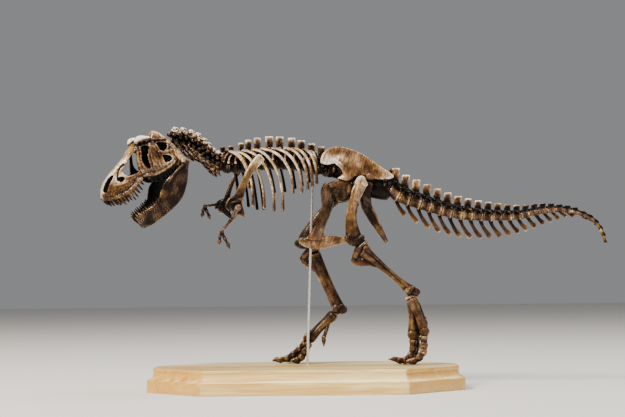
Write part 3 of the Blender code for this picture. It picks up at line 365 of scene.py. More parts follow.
def cast(name, shells, stands_for, voxel=0.49, lump=0.1, tone_and_painted_light=0.5, fibre=(0, 0, 1), place=None, soften=2,
         shape=None, wear=1.0):
    """One resin casting. Overlapping skins are melted into one (or kept as they are with no voxel),
    softened, given an uneven surface, and marked with how worn it is, its tone with painted light and
    shade, and how drawn out it is."""
    mesh = mesh_of(name, shells)
    if voxel:
        thing = in_scene(name, mesh)
        melt = thing.modifiers.new("melt", "REMESH")
        melt.mode, melt.voxel_size = "VOXEL", voxel
        ease = thing.modifiers.new("soften", "SMOOTH")
        ease.factor, ease.iterations = 0.5, soften
        graph = bpy.context.evaluated_depsgraph_get()
        mesh = bpy.data.meshes.new_from_object(thing.evaluated_get(graph))
        bpy.data.objects.remove(thing)
    total = len(mesh.vertices)
    points, normals = np.empty(total * 3), np.empty(total * 3)
    edges = np.empty(len(mesh.edges) * 2, int)
    mesh.vertices.foreach_get("co", points)
    mesh.vertex_normals.foreach_get("vector", normals)
    mesh.edges.foreach_get("vertices", edges)
    points, normals, edges = points.reshape(-1, 3), normals.reshape(-1, 3), edges.reshape(-1, 2)
    if shape:
        points = shape(points, normals)
    points = points + normals * lump * (0.6 * ripple(points, 5.5) + 0.4 * ripple(points, 2.1))[:, None]
    worn = 0
    for rounds, reach, share in (FINE_WEAR, BROAD_WEAR):
        out = stand_out(points, edges, normals, rounds)
        worn = worn + share * np.tanh((out - np.median(out)) / reach)
    worn = wear * np.clip(worn, -0.5, 0.3)
    light = tone_and_painted_light(points, normals) if callable(tone_and_painted_light) else tone_and_painted_light
    fibre = unit(fibre)
    drawn = points - DRAWN_OUT * (points @ fibre)[:, None] * fibre
    if place is not None:
        turn, origin = place
        points = points @ turn.T + origin
    mesh.name = name
    mesh.vertices.foreach_set("co", (points * MM).ravel())
    for key, values in (("worn", worn), ("tone_and_painted_light", np.broadcast_to(light, total))):
        mesh.attributes.new(key, "FLOAT", "POINT").data.foreach_set("value", np.asarray(values, np.float32))
    mesh.attributes.new("fibre", "FLOAT_VECTOR", "POINT").data.foreach_set(
        "vector", (drawn * MM).astype(np.float32).ravel())
    mesh.update()
    return show(name, mesh, bronzed_resin, stands_for)


def ball(centre, radii, turn=np.eye(3), sides=14, rows=9):
    """An egg: the unit sphere's points scaled by three radii along the columns of turn."""
    radii = np.broadcast_to(np.asarray(radii, float), 3)
    rise = np.linspace(-math.pi / 2, math.pi / 2, rows + 2)[1:-1, None]
    around = np.linspace(0, math.tau, sides, endpoint=False)[None]
    globe = np.stack([np.cos(rise) * np.cos(around), np.cos(rise) * np.sin(around),
                      np.sin(rise) + 0 * around], -1)
    pole = turn[:, 2] * radii[2]
    return closed_skin(centre + (globe * radii) @ turn.T, centre - pole, centre + pole)


def strip(edge_a, edge_b, half, normal, steps=5, power=0.7, sides=16):
    """A blade between two smooth edges. Each ring is middle + cos(turn)^power half the way to edge a
    + sin(turn)^power half the thickness along normal."""
    edge_a, edge_b = catmull(edge_a, steps), catmull(edge_b, steps)
    half = np.interp(np.linspace(0, 1, len(edge_a)), np.linspace(0, 1, len(half)), half)
    normal = catmull(normal, steps) if np.ndim(normal) == 2 else np.broadcast_to(normal, edge_a.shape)
    turn = np.linspace(0, math.tau, sides, endpoint=False)
    c, s = squarish(turn, power)
    rings = ((edge_a + edge_b)[:, None] / 2 + c[:, None] * (edge_a - edge_b)[:, None] / 2
             + s[:, None] * (half[:, None] * unit(normal))[:, None])
    return closed_skin(rings)


def spot(at):
    """The place on the backbone at this length along it, and its frame: back, right and up."""
    where = lambda s: np.array([np.interp(s, BACKBONE_AT, BACKBONE[:, k]) for k in range(3)])
    back = unit(where(at + 1) - where(at - 1))
    right = unit(np.array([-back[1], back[0], 0]))
    return where(at), np.stack([back, right, np.cross(back, right)], 1)


def length_at(x):
    """How far along the backbone its point nearest to this x lies."""
    return BACKBONE_AT[np.argmin(np.abs(BACKBONE[:, 0] - x))]


def spool(start, end, radius, waist=0.78, gap=0.25, tall=1.0, rims=(1.02, 1.02)):
    """A vertebra's body: round rims at both ends, drawn in to the waist between."""
    shares = (0.0, 0.1, 0.3, 0.5, 0.7, 0.9, 1.0)
    widths = (rims[0] - 0.05, rims[0], (rims[0] + waist) / 2, waist, (rims[1] + waist) / 2, rims[1],
              rims[1] - 0.05)
    stations = [(*spot(start + gap + (end - start - 2 * gap) * share)[0], radius * width,
                 radius * width * tall)
                for share, width in zip(shares, widths)]
    return tube(stations, across=spot((start + end) / 2)[1][:, 1], sides=24, steps=3, dome=0.06)


def spine_blade(at, low, high, length, thick, lean=0.0, flare=1.08, upright=True):
    """A blade over a vertebra, wider and thicker at its rough top than at its foot."""
    centre, turn = spot(at)
    if upright:
        turn = np.stack([unit(turn[:, 0] * (1, 1, 0)), turn[:, 1], (0, 0, 1)], 1)
    rows = ((0.0, 0.98, 0.9), (0.35, 0.86, 0.85), (0.75, 0.94, 0.95), (0.93, flare * 0.92, 1.2),
            (1.0, flare * 0.86, 1.05))
    front, rear, half = [], [], []
    for share, wide, thickness in rows:
        rise = low + (high - low) * share
        for edge, side in ((front, -1), (rear, 1)):
            edge.append(centre + turn @ (lean * share + side * length * wide / 2, 0, rise))
        half.append(thick * thickness / 2)
    return strip(front, rear, half, turn[:, 1], steps=4, power=0.6)


def graded(values, share):
    """The value at a share of the way along a row, on straight runs between evenly spaced values."""
    return np.interp(share, np.linspace(0, 1, len(values)), values)


def painted_light_along(centre, aim, heights, tones):
    """Painted light and shade: a tone that follows how far a point lies from the centre, measured along
    aim.
    """
    return lambda p, n: np.interp((p - centre) @ aim, heights, tones)


neck_end = length_at(TRUNK_SPINES_AT[0] - 4)
neck_edges = np.linspace(0.5, neck_end, NECK_VERTEBRAE + 1)
neck_shares = np.linspace(0, 1, NECK_VERTEBRAE)
neck_rise = graded((13.4, 13.6, 14.0, 14.0, 13.2, 11.8, 10.2, 9.0), neck_shares)
rib_reach, rib_drop = graded((13, 17, 15, 9, 3), neck_shares), graded((14, 15, 14, 14, 10), neck_shares)
for i in range(NECK_VERTEBRAE):
    start, end = neck_edges[i], neck_edges[i + 1]
    middle, size = (start + end) / 2, 4.6 + 0.15 * i
    centre, turn = spot(middle)
    rise, half_length, k = neck_rise[i], (end - start) / 2, np.interp(i, (0, 3, 8), (1.2, 1.2, 0.95))
    on = lambda back, side, up: centre + turn @ (back, side, up)
    shells = [spool(start, end, size, waist=0.74),
              tube([(*on(-half_length + 0.6, 0, 7.2), 3.4, 2.6), (*on(0, 0, 7.6), 4.0, 3.0),
                    (*on(half_length - 0.6, 0, 7.6), 3.2, 2.4)], across=turn[:, 1]),
              spine_blade(middle, 6, rise - 1, 4.4, 3.6, upright=False),
              ball(on(-0.5, -2.2, rise - 1.9), (3.4 * k, 2.6 * k, 3.5 * k), turn),
              ball(on(0.6, 2.2, rise - 2.1), (3.3 * k, 2.6 * k, 3.5 * k), turn),
              ball(on(0.9, -0.4, rise - 0.6), (2.6 * k, 2.2 * k, 2.2 * k), turn),
              ball(on(-1.6, -2.6, rise - 4.2), (2.6 * k, 2.0, 2.6), turn)]
    for side in (-1, 1):
        shells += [ball(on(1.4, side * 5.2, 9.4), (3.1, 2.7, 2.9), turn),
                   ball(on(2.8, side * 6.2, 5.4), (1.9, 1.6, 2.3), turn),
                   ball(on(-2.4, side * 4.8, 7.4), (2.3, 2.2, 2.0), turn),
                   tube([(*on(0, side * 2.5, 4), 2.0), (*on(0.4, side * 4.6, 1.6), 1.8),
                         (*on(0.6, side * 5.4, -1.6), 1.9)]),
                   ball(on(-0.6, side * 5.2, -2.4), (2.6, 1.9, 2.1), turn)]
        root, out = on(0, side * 5.2, -2.3), turn @ (0, side, 0)
        trail = np.array((rib_reach[i], 0, -rib_drop[i]))
        shells.append(tube([(*(root - trail * 0.12 + out * 0.2), 1.2), (*root, 1.7),
                            (*(root + trail * 0.2 + out * 1.6), 1.5),
                            (*(root + trail * (0.45, 1, 0.6) + out * 2.5), 1.25),
                            (*(root + trail * 0.98 + out * 2.4), 0.85)],
                           sides=10))
    if i == 0:
        head_end = spot(start)[0]
        shells.append(tube([(*(head_end + (1, 0.5, 8)), 3.0), (*(head_end + (-3.5, -2.6, 8.2)), 2.3)]))
    # painted light: each neck vertebra paler towards its knobbed top, with a band of painted shade at mid
    # height
    cast(f"neck_vertebra_{i + 1}", shells, "neck", voxel=0.46, lump=0.2, fibre=turn[:, 2],
         shape=lambda p, n: p + n * (0.4 * ripple(p, 4.4) + 0.3 * ripple(p, 2.6))[:, None],
         tone_and_painted_light=painted_light_along(centre, turn[:, 2], (-12, -4, 2, 6.5, 10, 13),
                         (0.26, 0.36, 0.14, 0.24, 0.56, 0.84)))

# ------------------------------------------------------------------ rib cage
# Eleven trunk vertebrae with tall blade-like spines, and eleven pairs of slim curved ribs glued to their
# sides. Cast resin: the tops of the spines and the outer faces of the ribs are painted pale as lit, and the
# vertebral bodies, the ribs' inner faces and the far ribs painted dark as in shade.

CENTRUM_RADIUS = 6.0
# from front to back: where each rib is rooted, how far it runs back and down, and its half spread
RIBS_AT = (-83, -78, -70, -61, -53, -44, -33.5, -21.5, -13, -3.5, 3)
RIB_SWEEP = (21, 20, 26, 27, 26, 28, 26, 20, 16, 10.5, 4.5)
RIB_DROP = (38, 56, 58, 62, 63, 46, 46, 43, 40, 35, 25)
RIB_SPREAD = (17, 21, 24, 26, 27, 27, 26, 24, 22, 19, 15)
FAR_SWEEP = 0.82  # the ribs on the right run back a little less

trunk_at = [length_at(x) for x in TRUNK_SPINES_AT]
trunk_edges = [neck_end] + [(a + b) / 2 for a, b in zip(trunk_at, trunk_at[1:])] + [length_at(23)]
for i, at in enumerate(trunk_at):
    start, end = trunk_edges[i], trunk_edges[i + 1]
    centre, turn = spot(at)
    on = lambda back, side, up: centre + turn @ (back, side, up)
    top = graded((20, 23.4, 27, 28.4, 27.6, 25.5, 24), i / 10)
    spine_length = graded((5.4, 6.2, 8.6, 8.2, 7.4), i / 10)
    arch_rise = np.interp(i / 10, (0, 0.33, 0.67, 1), (8.5, 9, 9.5, 9))
    ahead, behind = start - at, end - at
    shells = [spool(start, end, CENTRUM_RADIUS, waist=0.72),
              tube([(*on(ahead + 0.8, 0, arch_rise), 3.6, 4.2), (*on(0, 0, arch_rise + 0.4), 4.2, 4.8),
                    (*on(behind - 0.8, 0, arch_rise), 3.4, 4.2)], across=turn[:, 1]),
              spine_blade(at, 10, top - 0.2, spine_length, 3.0)]
    for side in (-1, 1):
        reach = 9.5 if i < 9 else 5
        shells += [tube([(*on(0, side * 2, 12), 2.6, 1.7), (*on(-1, side * reach * 0.6, 14.3), 2.2, 1.3),
                         (*on(-2, side * (reach - 0.4), 15.2), 1.8, 1.3)], across=turn[:, 0]),
                   ball(on(ahead * 0.7, side * 3.4, arch_rise + 2.6), (2.4, 1.9, 1.6), turn),
                   ball(on(behind * 0.75, side * 3.2, arch_rise + 1.4), (2.2, 1.8, 1.6), turn),
                   tube([(*on(0, side * 5.2, 3.5), 2.0, 1.2), (*on(0, side * 4.4, 8.5), 1.8, 1.3)],
                        across=turn[:, 0])]
    # painted light and shade: each trunk vertebra near-black over its body and arch, paler up its spine to
    # a pale top
    cast(f"trunk_vertebra_{i + 1}", shells, "ribcage_left ribcage_right", voxel=0.49, lump=0.14,
         fibre=turn[:, 2],
         tone_and_painted_light=painted_light_along(centre, turn[:, 2], (-6, 9, 14, 21, 25), (0.14, 0.14, 0.34, 0.5, 0.84)))


def rib_painted_light(base, outward, lowest):
    """Painted light where a rib faces outwards, painted shade where it faces inwards, and darker over its
    lowest 20 mm.
    """
    return lambda p, n: (base + 0.42 * np.clip(n @ outward, -1, 1)
                         - 0.26 * np.clip((lowest + 20 - p[:, 2]) / 12, 0, 1))


for i, x in enumerate(RIBS_AT):
    for word, side in SIDES:
        middle, turn = spot(length_at(x))
        back, right = unit(turn[:, 0] * (1, 1, 0)), turn[:, 1]
        sweep, drop = RIB_SWEEP[i] * (FAR_SWEEP if side > 0 else 1), RIB_DROP[i] - (4 if side > 0 else 0)
        root = middle + turn[:, 2] * 15
        angle = np.radians(np.linspace(0, 88, 12))[:, None]
        out = 6 + (RIB_SPREAD[i] - 6) * np.sin(angle * 1.35)
        line = (root + back * sweep * np.sin(angle) + right * side * out
                - np.array((0, 0, 1)) * drop * (1 - np.cos(angle)))
        head = root + right * side * 2.0 - (0, 0, 4)
        line = np.vstack([head, line])
        wide = np.interp(np.linspace(0, 1, 13), (0, 0.08, 0.3, 0.8, 0.94, 1),
                         (1.8, 1.9, 1.7, 1.35, 1.45, 1.7))
        outward = unit(right * side + np.linspace(0.9, -0.1, 13)[:, None] * np.array((0, 0, 1.0)))
        shells = [tube(np.column_stack([line, wide * 0.78, wide]), across=outward, sides=12, steps=6,
                       power=0.85),
                  tube([(*(middle + turn @ (0.5, side * 5.6, 4.5)), 1.5),
                        (*(middle + turn @ (0.8, side * 6.2, 9)), 1.2),
                        (*line[2], 1.2)], sides=10)]
        # painted shade: the far side's ribs start darker than the near side's
        cast(f"rib_{word}_{i + 1}", shells, f"ribcage_{word}", voxel=0.42, lump=0.06,
             fibre=unit(line[8] - line[3]),
             tone_and_painted_light=rib_painted_light(0.49 if side < 0 else 0.32, right * side * 0.8 - back * 0.5 + (0, 0, 0.3),
                           line[-1, 2]))

# ------------------------------------------------------------------ sacrum and tail
# Five fused vertebrae between the hip blades, then twenty-six tail vertebrae on a hidden wire, with
# blade-like spines above, side processes near the hips and a curved chevron hung under each joint.

SACRAL_VERTEBRAE, TAIL_VERTEBRAE = 5, 26
tail_start = length_at(86)
sacrum_edges = np.linspace(trunk_edges[-1] + 0.4, tail_start - 0.4, SACRAL_VERTEBRAE + 1)
shells = []
for i in range(SACRAL_VERTEBRAE):
    start, end = sacrum_edges[i], sacrum_edges[i + 1]
    at = (start + end) / 2
    centre, turn = spot(at)
    on = lambda back, side, up: centre + turn @ (back, side, up)
    rise = (8.5, 8.5, 8.5, 8, 7)[i]
    shells += [spool(start, end, (6.0, 6.4, 7.0, 7.6, 7.4)[i], waist=0.88, gap=-0.2 if 0 < i < 4 else 0),
               tube([(*on(start - at - 0.2, 0, rise), 3.6, 4.2), (*on(end - at + 0.2, 0, rise), 3.4, 4.0)],
                    across=turn[:, 1]),
               spine_blade(at, 8, (24, 24, 21, 17, 19)[i] - 0.3, (7.4, 7.4, 7.4, 7.2, 5.2)[i], 2.6,
                           upright=False)]
    for side in (-1, 1):
        shells.append(tube([(*on(0, side * 3, 1), 3.0, 3.6), (*on(0, side * 7.4, 3), 2.2, 4.4)],
                           across=turn[:, 0]))
shells.append(tube([(50, 16, 206, 5, 5), (60, 16, 202.5, 7, 7), (70, 16, 199.5, 8.6, 7.6),
                    (80, 16, 197, 8.6, 7.6), (84.4, 16, 195.4, 7.4, 7)],
                   across=(0, 0, 1), sides=20, dome=0.4))
# painted shade: the sacrum is made near-black, as it lies in shade between the hip blades
cast("sacrum_bone", shells, "sacrum", voxel=0.49, lump=0.14, fibre=(0, 0, 1), tone_and_painted_light=0.12)

tail_shares = 1 - 0.017 * np.arange(TAIL_VERTEBRAE)
tail_run = np.concatenate([[0], np.cumsum(tail_shares)])
tail_edges = tail_start + (BACKBONE_AT[-1] - tail_start) * tail_run / tail_shares.sum()
TAIL_SPLIT = (0, 5, 10, 15, 20, 26)


# the first so many tail vertebrae have side processes and spines; these have no chevron under them
WITH_PROCESSES, WITH_SPINES, NO_CHEVRON = 13, 20, (19, 23, 24, 25)
for i in range(TAIL_VERTEBRAE):
    start, end = tail_edges[i], tail_edges[i + 1]
    at, length = (start + end) / 2, end - start
    centre, turn = spot(at)
    on = lambda back, side, up: centre + turn @ (back, side, up)
    size = graded((7.3, 6.6, 5.5, 4.3, 3.1, 2.2, 1.6), i / 25)
    rise = graded((8.2, 7.2, 5.8, 4.3, 2.9, 1.9, 0.9), i / 25)
    arch = graded((3.2, 2.9, 2.5, 2.0, 1.6, 1.3, 0.9), i / 25)
    shells = [spool(start, end, size, waist=0.86, gap=0.22, rims=(0.92, 1.04))]
    if i < 25:
        shells.append(tube([(*on(-length * 0.46, 0, rise), arch * 0.7), (*on(0, 0, rise), arch * 0.95),
                            (*on(length * 0.42, 0, rise + 0.2), arch * 0.6)], across=turn[:, 1], sides=12))
        for side in (-1, 1):
            shells += [ball(on(-length * 0.42, side * arch * 0.75, rise + arch * 0.25), arch * 0.45, turn,
                            10, 7),
                       ball(on(length * 0.42, side * arch * 0.55, rise + arch * 0.5), arch * 0.42, turn, 10,
                            7)]
    if i < WITH_SPINES:
        top = max(24.0 - 1.12 * i, 4.5)
        shells.append(spine_blade(at, rise * 0.8, top + 0.6, length * 0.78, graded((3.0, 2.4, 1.8), i / 20),
                                  lean=2.0 - 0.08 * i, flare=1.0))
    elif i < 25:
        shells.append(ball(on(0.8, 0, rise + arch * 0.8), (length * 0.3, 0.7, 0.8), turn, 10, 7))
    if i < WITH_PROCESSES:
        reach = 12 - 0.75 * i
        for side in (-1, 1):
            shells.append(tube([(*on(0, side * 2, size * 0.9), 2.2, 1.3),
                                (*on(1, side * (size + reach * 0.4), size * 0.95), 1.6, 1.0),
                                (*on(2, side * (size + reach * 0.8), size * 0.9), 1.3, 0.7)],
                               across=turn[:, 0]))
    length_node = f"tail_{np.searchsorted(TAIL_SPLIT, i, side='right')}"
    # painted shade and light: a near-black band along the top of each body under the arch and processes,
    # paler up to the spine tops
    cast(f"tail_vertebra_{i + 1}", shells, length_node, voxel=0.46 if i < 14 else 0.37, lump=0.1,
         fibre=turn[:, 2],
         tone_and_painted_light=painted_light_along(centre, turn[:, 2], (-size, size * 0.35, size * 0.8, rise + 2.4, rise + 5,
                                              rise + 9),
                         (0.5, 0.54, 0.08, 0.16, 0.5, 0.74)))
    if i in NO_CHEVRON:
        continue
    joint, turn = spot(end - 2.6)
    size = graded((20, 25, 24, 22, 19, 14, 11, 7.5, 6, 4), i / 22)
    tilt = math.radians(graded((62, 64, 62, 58, 52, 48, 30, 12), i / 22))
    radius = graded((4.3, 3.7, 2.6, 1.7), i / 22)
    slope = np.array((math.cos(tilt), 0, -math.sin(tilt)))
    head = joint - turn[:, 2] * radius * 0.8
    tip = head + slope * (size + radius * 0.4)
    bend = np.array((-0.9, 0, -1.0)) * min(size / 20, 1)
    k = min(1.0, 0.5 + size / 24)
    drop = [(*(head + (tip - head) * 0.04), 2.4 * k, 1.5 * k),
            (*(head + (tip - head) * 0.3 + bend), 1.8 * k, 1.2 * k),
            (*(head + (tip - head) * 0.62 + bend * 0.9), 2.2 * k, 1.15 * k),
            (*(head + (tip - head) * 0.86 + bend * 0.3), 2.8 * k, 1.2 * k),
            (*(tip - slope * 1.3), 2.2 * k, 1.0 * k)]
    shells = [tube(drop, across=np.cross(slope, (0, 1, 0)), sides=14, steps=5)]
    for side in (-1, 1):
        shells.append(ball(head + (0.2, side * radius * 0.35, 0.3), 1.3 * k, sides=10, rows=7))
    # painted shade: each chevron darker at its head under the tail, lighter towards its tip
    cast(f"chevron_{i + 1}", shells, length_node, voxel=0.4, lump=0.07, fibre=slope,
         tone_and_painted_light=painted_light_along(head, slope, (0, size * 0.4, size), (0.24, 0.38, 0.58)))

# ------------------------------------------------------------------ pelvis
# Two hip blades leaning together over the sacrum, the paired pubic bones with their long boot, and the
# paired ischia that run down and back. Broad smooth castings, rubbed to ochre and bone, with painted
# highlights on the hip blades and painted shade on the far pubic bone.

HIP_Y, HIP_X, HIP_Z, BOOT_Y = 16, 52.5, 205, 15.2
# along each hip blade: x, height of the crest, height of the lower edge, half thickness
HIP_BLADE = ((16.2, 231, 226.5, 0.7), (19, 236.5, 225.2, 1.2), (24, 241, 224.6, 1.5), (31, 243.2, 226, 1.6),
             (36, 243, 222.5, 1.7), (40, 242.4, 213, 2.2), (46, 240.7, 210.2, 2.6), (54, 237.7, 212.6, 2.5),
             (62, 233.2, 212.6, 2.4), (70, 227.2, 209.3, 2.2), (78, 221.2, 208.9, 1.8),
             (85, 216.6, 209.2, 1.5),
             (89.6, 212.8, 210.6, 0.9))


def lean(z):
    """How far a hip blade's middle is from the middle of the hips at height z: it leans in upwards."""
    return np.interp(z, (209, 243), (12.6, 5.6))


def paired(side, stations, middle=HIP_Y):
    """The stations with their second value, the distance out from the middle, made a place in y."""
    stations = np.array(stations, float)
    stations[:, 1] = middle + side * stations[:, 1]
    return stations


for word, side in SIDES:
    x, crest, low, half = np.array(HIP_BLADE, float).T
    upper = np.column_stack([x, HIP_Y + side * lean(crest), crest])
    lower = np.column_stack([x, HIP_Y + side * lean(low), low])
    shells = [strip(upper, lower, half, (0, side * 0.98, 0.2), steps=5, power=0.55, sides=26),
              strip(paired(side, [(46, 9.6, 223), (40.8, 11.2, 217.4), (36.4, 12.4, 213),
                                  (33, 12.4, 210.6)]),
                    paired(side, [(58, 9.8, 218), (52, 11.4, 213), (48, 12.6, 209), (44.6, 12.6, 206.9)]),
                    (0.9, 2.0, 2.9, 2.4), (0, 1, 0), power=0.95),
              ball((66, HIP_Y + side * 12.4, 212), (5, 2.2, 4)),
              tube(paired(side, [(19, 8.6, 228, 1.6, 1.0), (30, 9.4, 229, 2.4, 1.2),
                                 (42, 11.6, 219, 2.6, 1.4),
                                 (54, 12.2, 216.4, 2.4, 1.2), (66, 11.8, 214, 2.2, 1.2)]),
                   across=(0, 0, 1))]
    # painted highlights: each hip blade paler at the front below its crest and towards its rear
    cast(f"hip_blade_{word}", shells, f"ilium_{word}", voxel=0.52, lump=0.08, wear=0.4, fibre=(0.25, 0, 1),
         soften=5,
         shape=lambda p, n: p + n * (0.05 * ripple(p * (1, 1, 0.12), 1.6))[:, None],
         tone_and_painted_light=lambda p, n: 0.57 + 0.05 * ripple(p * (1, 1, 0.1), 1.7) + 0.07 * ripple(p, 16)
         + 0.3 * np.clip((44 - p[:, 0]) / 10, 0, 1) * np.clip((238 - p[:, 2]) / 6, 0, 1)
         + 0.26 * np.clip((p[:, 0] - 74) / 8, 0, 1))

shells = []
for side in (-1, 1):
    shaft = [(25, 11, 204.5, 5.4, 2.8), (23.4, 10.4, 198, 7.4, 3.3), (23.2, 8.2, 188.5, 6.6, 3.5),
             (21.6, 5.2, 178, 5.0, 3.4), (18.4, 3.6, 169, 4.6, 3.2), (14.8, 2.4, 161, 5.2, 3.0),
             (12.2, 1.4, 154, 7.6, 3.0), (11.6, 0.8, 149.6, 13.0, 3.2)]
    shells.append(tube(paired(side, shaft, np.repeat((HIP_Y, BOOT_Y), 4)), across=(1, 0, 0.15), sides=22,
                       steps=6, dome=0.5))
    # the broad plate under the hip socket, where pubis and ischium meet
    top = np.array([(24, 206), (31, 208.4), (39, 208.6), (47, 207)])
    base = np.array([(28, 194), (33, 187.5), (40, 187), (46.5, 190)])
    shells.append(strip(np.insert(top, 1, HIP_Y + side * 12, 1), np.insert(base, 1, HIP_Y + side * 9.6, 1),
                        (2.4, 3.4, 3.6, 2.6), (0, 1, 0), power=0.85))
    shells += [ball((29, HIP_Y + side * 12.6, 203.5), (5.4, 2.6, 3.2)),
               ball((45, HIP_Y + side * 12, 200), (4.6, 3.0, 6.0)),
               tube(paired(side, [(27, 12, 201, 1.6), (25.6, 11, 192, 1.5), (23.6, 8, 181, 1.0)]),
                    sides=12)]
shells.append(tube([(-4.6, BOOT_Y, 148.7, 2.2, 3.6), (2, BOOT_Y, 147.0, 3.6, 5.4),
                    (10, BOOT_Y, 146.2, 3.8, 6.5), (18, BOOT_Y, 146.6, 3.6, 6.3),
                    (27, BOOT_Y, 147.9, 3.2, 5.4), (35, BOOT_Y, 148.6, 2.5, 4.0),
                    (41.3, BOOT_Y, 148.4, 1.5, 2.4)],
                   sides=22, steps=6))
# painted shade: the far pubic bone darker than the near one
cast("pubic_bones", shells, "pubis", voxel=0.52, lump=0.09, wear=0.6, fibre=(0.35, 0, 1), soften=4,
     tone_and_painted_light=lambda p, n: 0.42 - 0.16 * np.clip((p[:, 1] - BOOT_Y) / 4, 0, 1)
     + 0.2 * np.clip((172 - p[:, 2]) / 20, 0, 1) + 0.1 * ripple(p, 14))

shells = []
for side in (-1, 1):
    shaft = [(66, 11, 204.6, 3.4, 2.6), (61.5, 8.6, 195.5, 5.6, 3.2), (62.4, 4.4, 183, 5.4, 3.2),
             (67.4, 2.9, 172.5, 5.0, 2.8), (73, 2.3, 162.5, 4.0, 2.4), (77.8, 2, 154, 3.0, 2.1),
             (81.4, 1.8, 147, 2.2, 1.8)]
    ridge = [(68, 5.4, 179.5, 1.2), (72, 4.4, 171.5, 1.2), (76, 3.8, 162.5, 0.9)]
    shells += [tube(paired(side, shaft), across=np.array([(1, 0, 0.5)] * 7), sides=18, steps=6),
               tube(paired(side, ridge), sides=10)]
cast("ischial_bones", shells, "ischium", voxel=0.49, lump=0.1, wear=0.7, fibre=(0.55, 0, -0.83), soften=3,
     tone_and_painted_light=lambda p, n: 0.38 + 0.1 * ripple(p, 15))

# ------------------------------------------------------------------ legs
# Each leg is a thigh bone with two knuckled condyles, a shin bone with its crest, the splint-like
# fibula beside it, three long foot bones with a small one behind, and jointed toes that end in claws.
# Cast solid and pinned.

for word, side, head, knee in (("left", -1, (57, 203), (49, 149.5)), ("right", 1, (42, 199), (0, 149))):
    y, (x0, z0), (x1, z1), rise = HIP_Y + side * 17, head, knee, (5.0 if side < 0 else 2.0)
    t = np.array((0, 0.12, 0.25, 0.4, 0.55, 0.7, 0.84, 0.94, 1.0))
    shaft = np.column_stack([x0 + (x1 - x0) * t - 6 * np.sin(math.pi * t), np.full(9, y),
                             z0 + 0.5 + (z1 - z0) * t,
                             (5.6, 5.6, 5.0, 4.9, 5.3, 5.9, 6.9, 7.8, 7.8),
                             (4.2, 4.1, 3.8, 3.7, 3.9, 4.4, 5.4, 6.2, 6.0)])
    run = unit(np.array((x1 - x0, 0, z1 - z0)))
    fore = np.array((run[2], 0, -run[0]))
    at = lambda share, out, ahead: np.array((x0 + (x1 - x0) * share - 6 * math.sin(math.pi * share),
                                             y + side * out,
                                             z0 + (z1 - z0) * share)) + fore * ahead
    shells = [tube(shaft, across=(1, 0, 0.1), sides=22, steps=5),
              ball((HIP_X, HIP_Y + side * 11.6, HIP_Z), 3.5, sides=18, rows=12),
              tube([(HIP_X, HIP_Y + side * 12, HIP_Z, 3.2), (x0, y, z0 - 1.5, 4.6)], across=(0, 0, 1)),
              ball((x0 + 1.5, y + side * 1.2, z0 + 1.2), (5.2, 3.4, 4.2)),
              ball((x0 - 0.6, y + side * 0.9, z0 + rise - 3.4), (5.9, 3.3, 8.2),
                   np.stack([fore, (0, side, 0), -run], 1)),
              tube([(*at(-0.02, 0.5, 4.6), 2.0, 1.7), (*at(0.1, 0.8, 5.2), 2.1, 1.7),
                    (*at(0.2, 0.6, 4.2), 1.4, 1.2)], across=(0, 1, 0)),
              tube([(*at(0.34, -0.6, -4.0), 1.4), (*at(0.42, -0.4, -4.8), 1.9),
                    (*at(0.5, -0.6, -4.2), 1.2)], across=(0, 1, 0))]
    for out in (-3.4, 3.4):
        if side < 0:
            knuckle = [(x1 - 6.8, y + out, z1 + 0.8, 3.0, 3.8), (x1 - 1, y + out, z1 - 3.0, 3.4, 4.8),
                       (x1 + 5.0, y + out, z1 - 2.2, 3.4, 4.7), (x1 + 8.0, y + out, z1 + 1.8, 2.6, 3.0)]
        else:
            knuckle = [(x1 - 9.2, y + out, z1 - 2.6, 2.6, 3.4), (x1 - 4, y + out, z1 - 3.8, 3.3, 4.6),
                       (x1 + 3.0, y + out, z1 - 2.6, 3.3, 4.6), (x1 + 6.4, y + out, z1 + 1.6, 2.4, 2.8)]
        shells.append(tube(knuckle, across=(0, 1, 0)))
    # painted light: each thigh bone lighter towards its head, the far one kept darker as painted shade
    cast(f"thigh_bone_{word}", shells, f"femur_{word}", voxel=0.52, lump=0.09, wear=0.65, fibre=run,
         soften=4,
         tone_and_painted_light=lambda p, n, high=(0.76 if side < 0 else 0.42): np.interp(
             p[:, 2], (148, 158, 175, 192, 202), (0.24, 0.42, 0.58, (0.6 + high) / 2, high)))

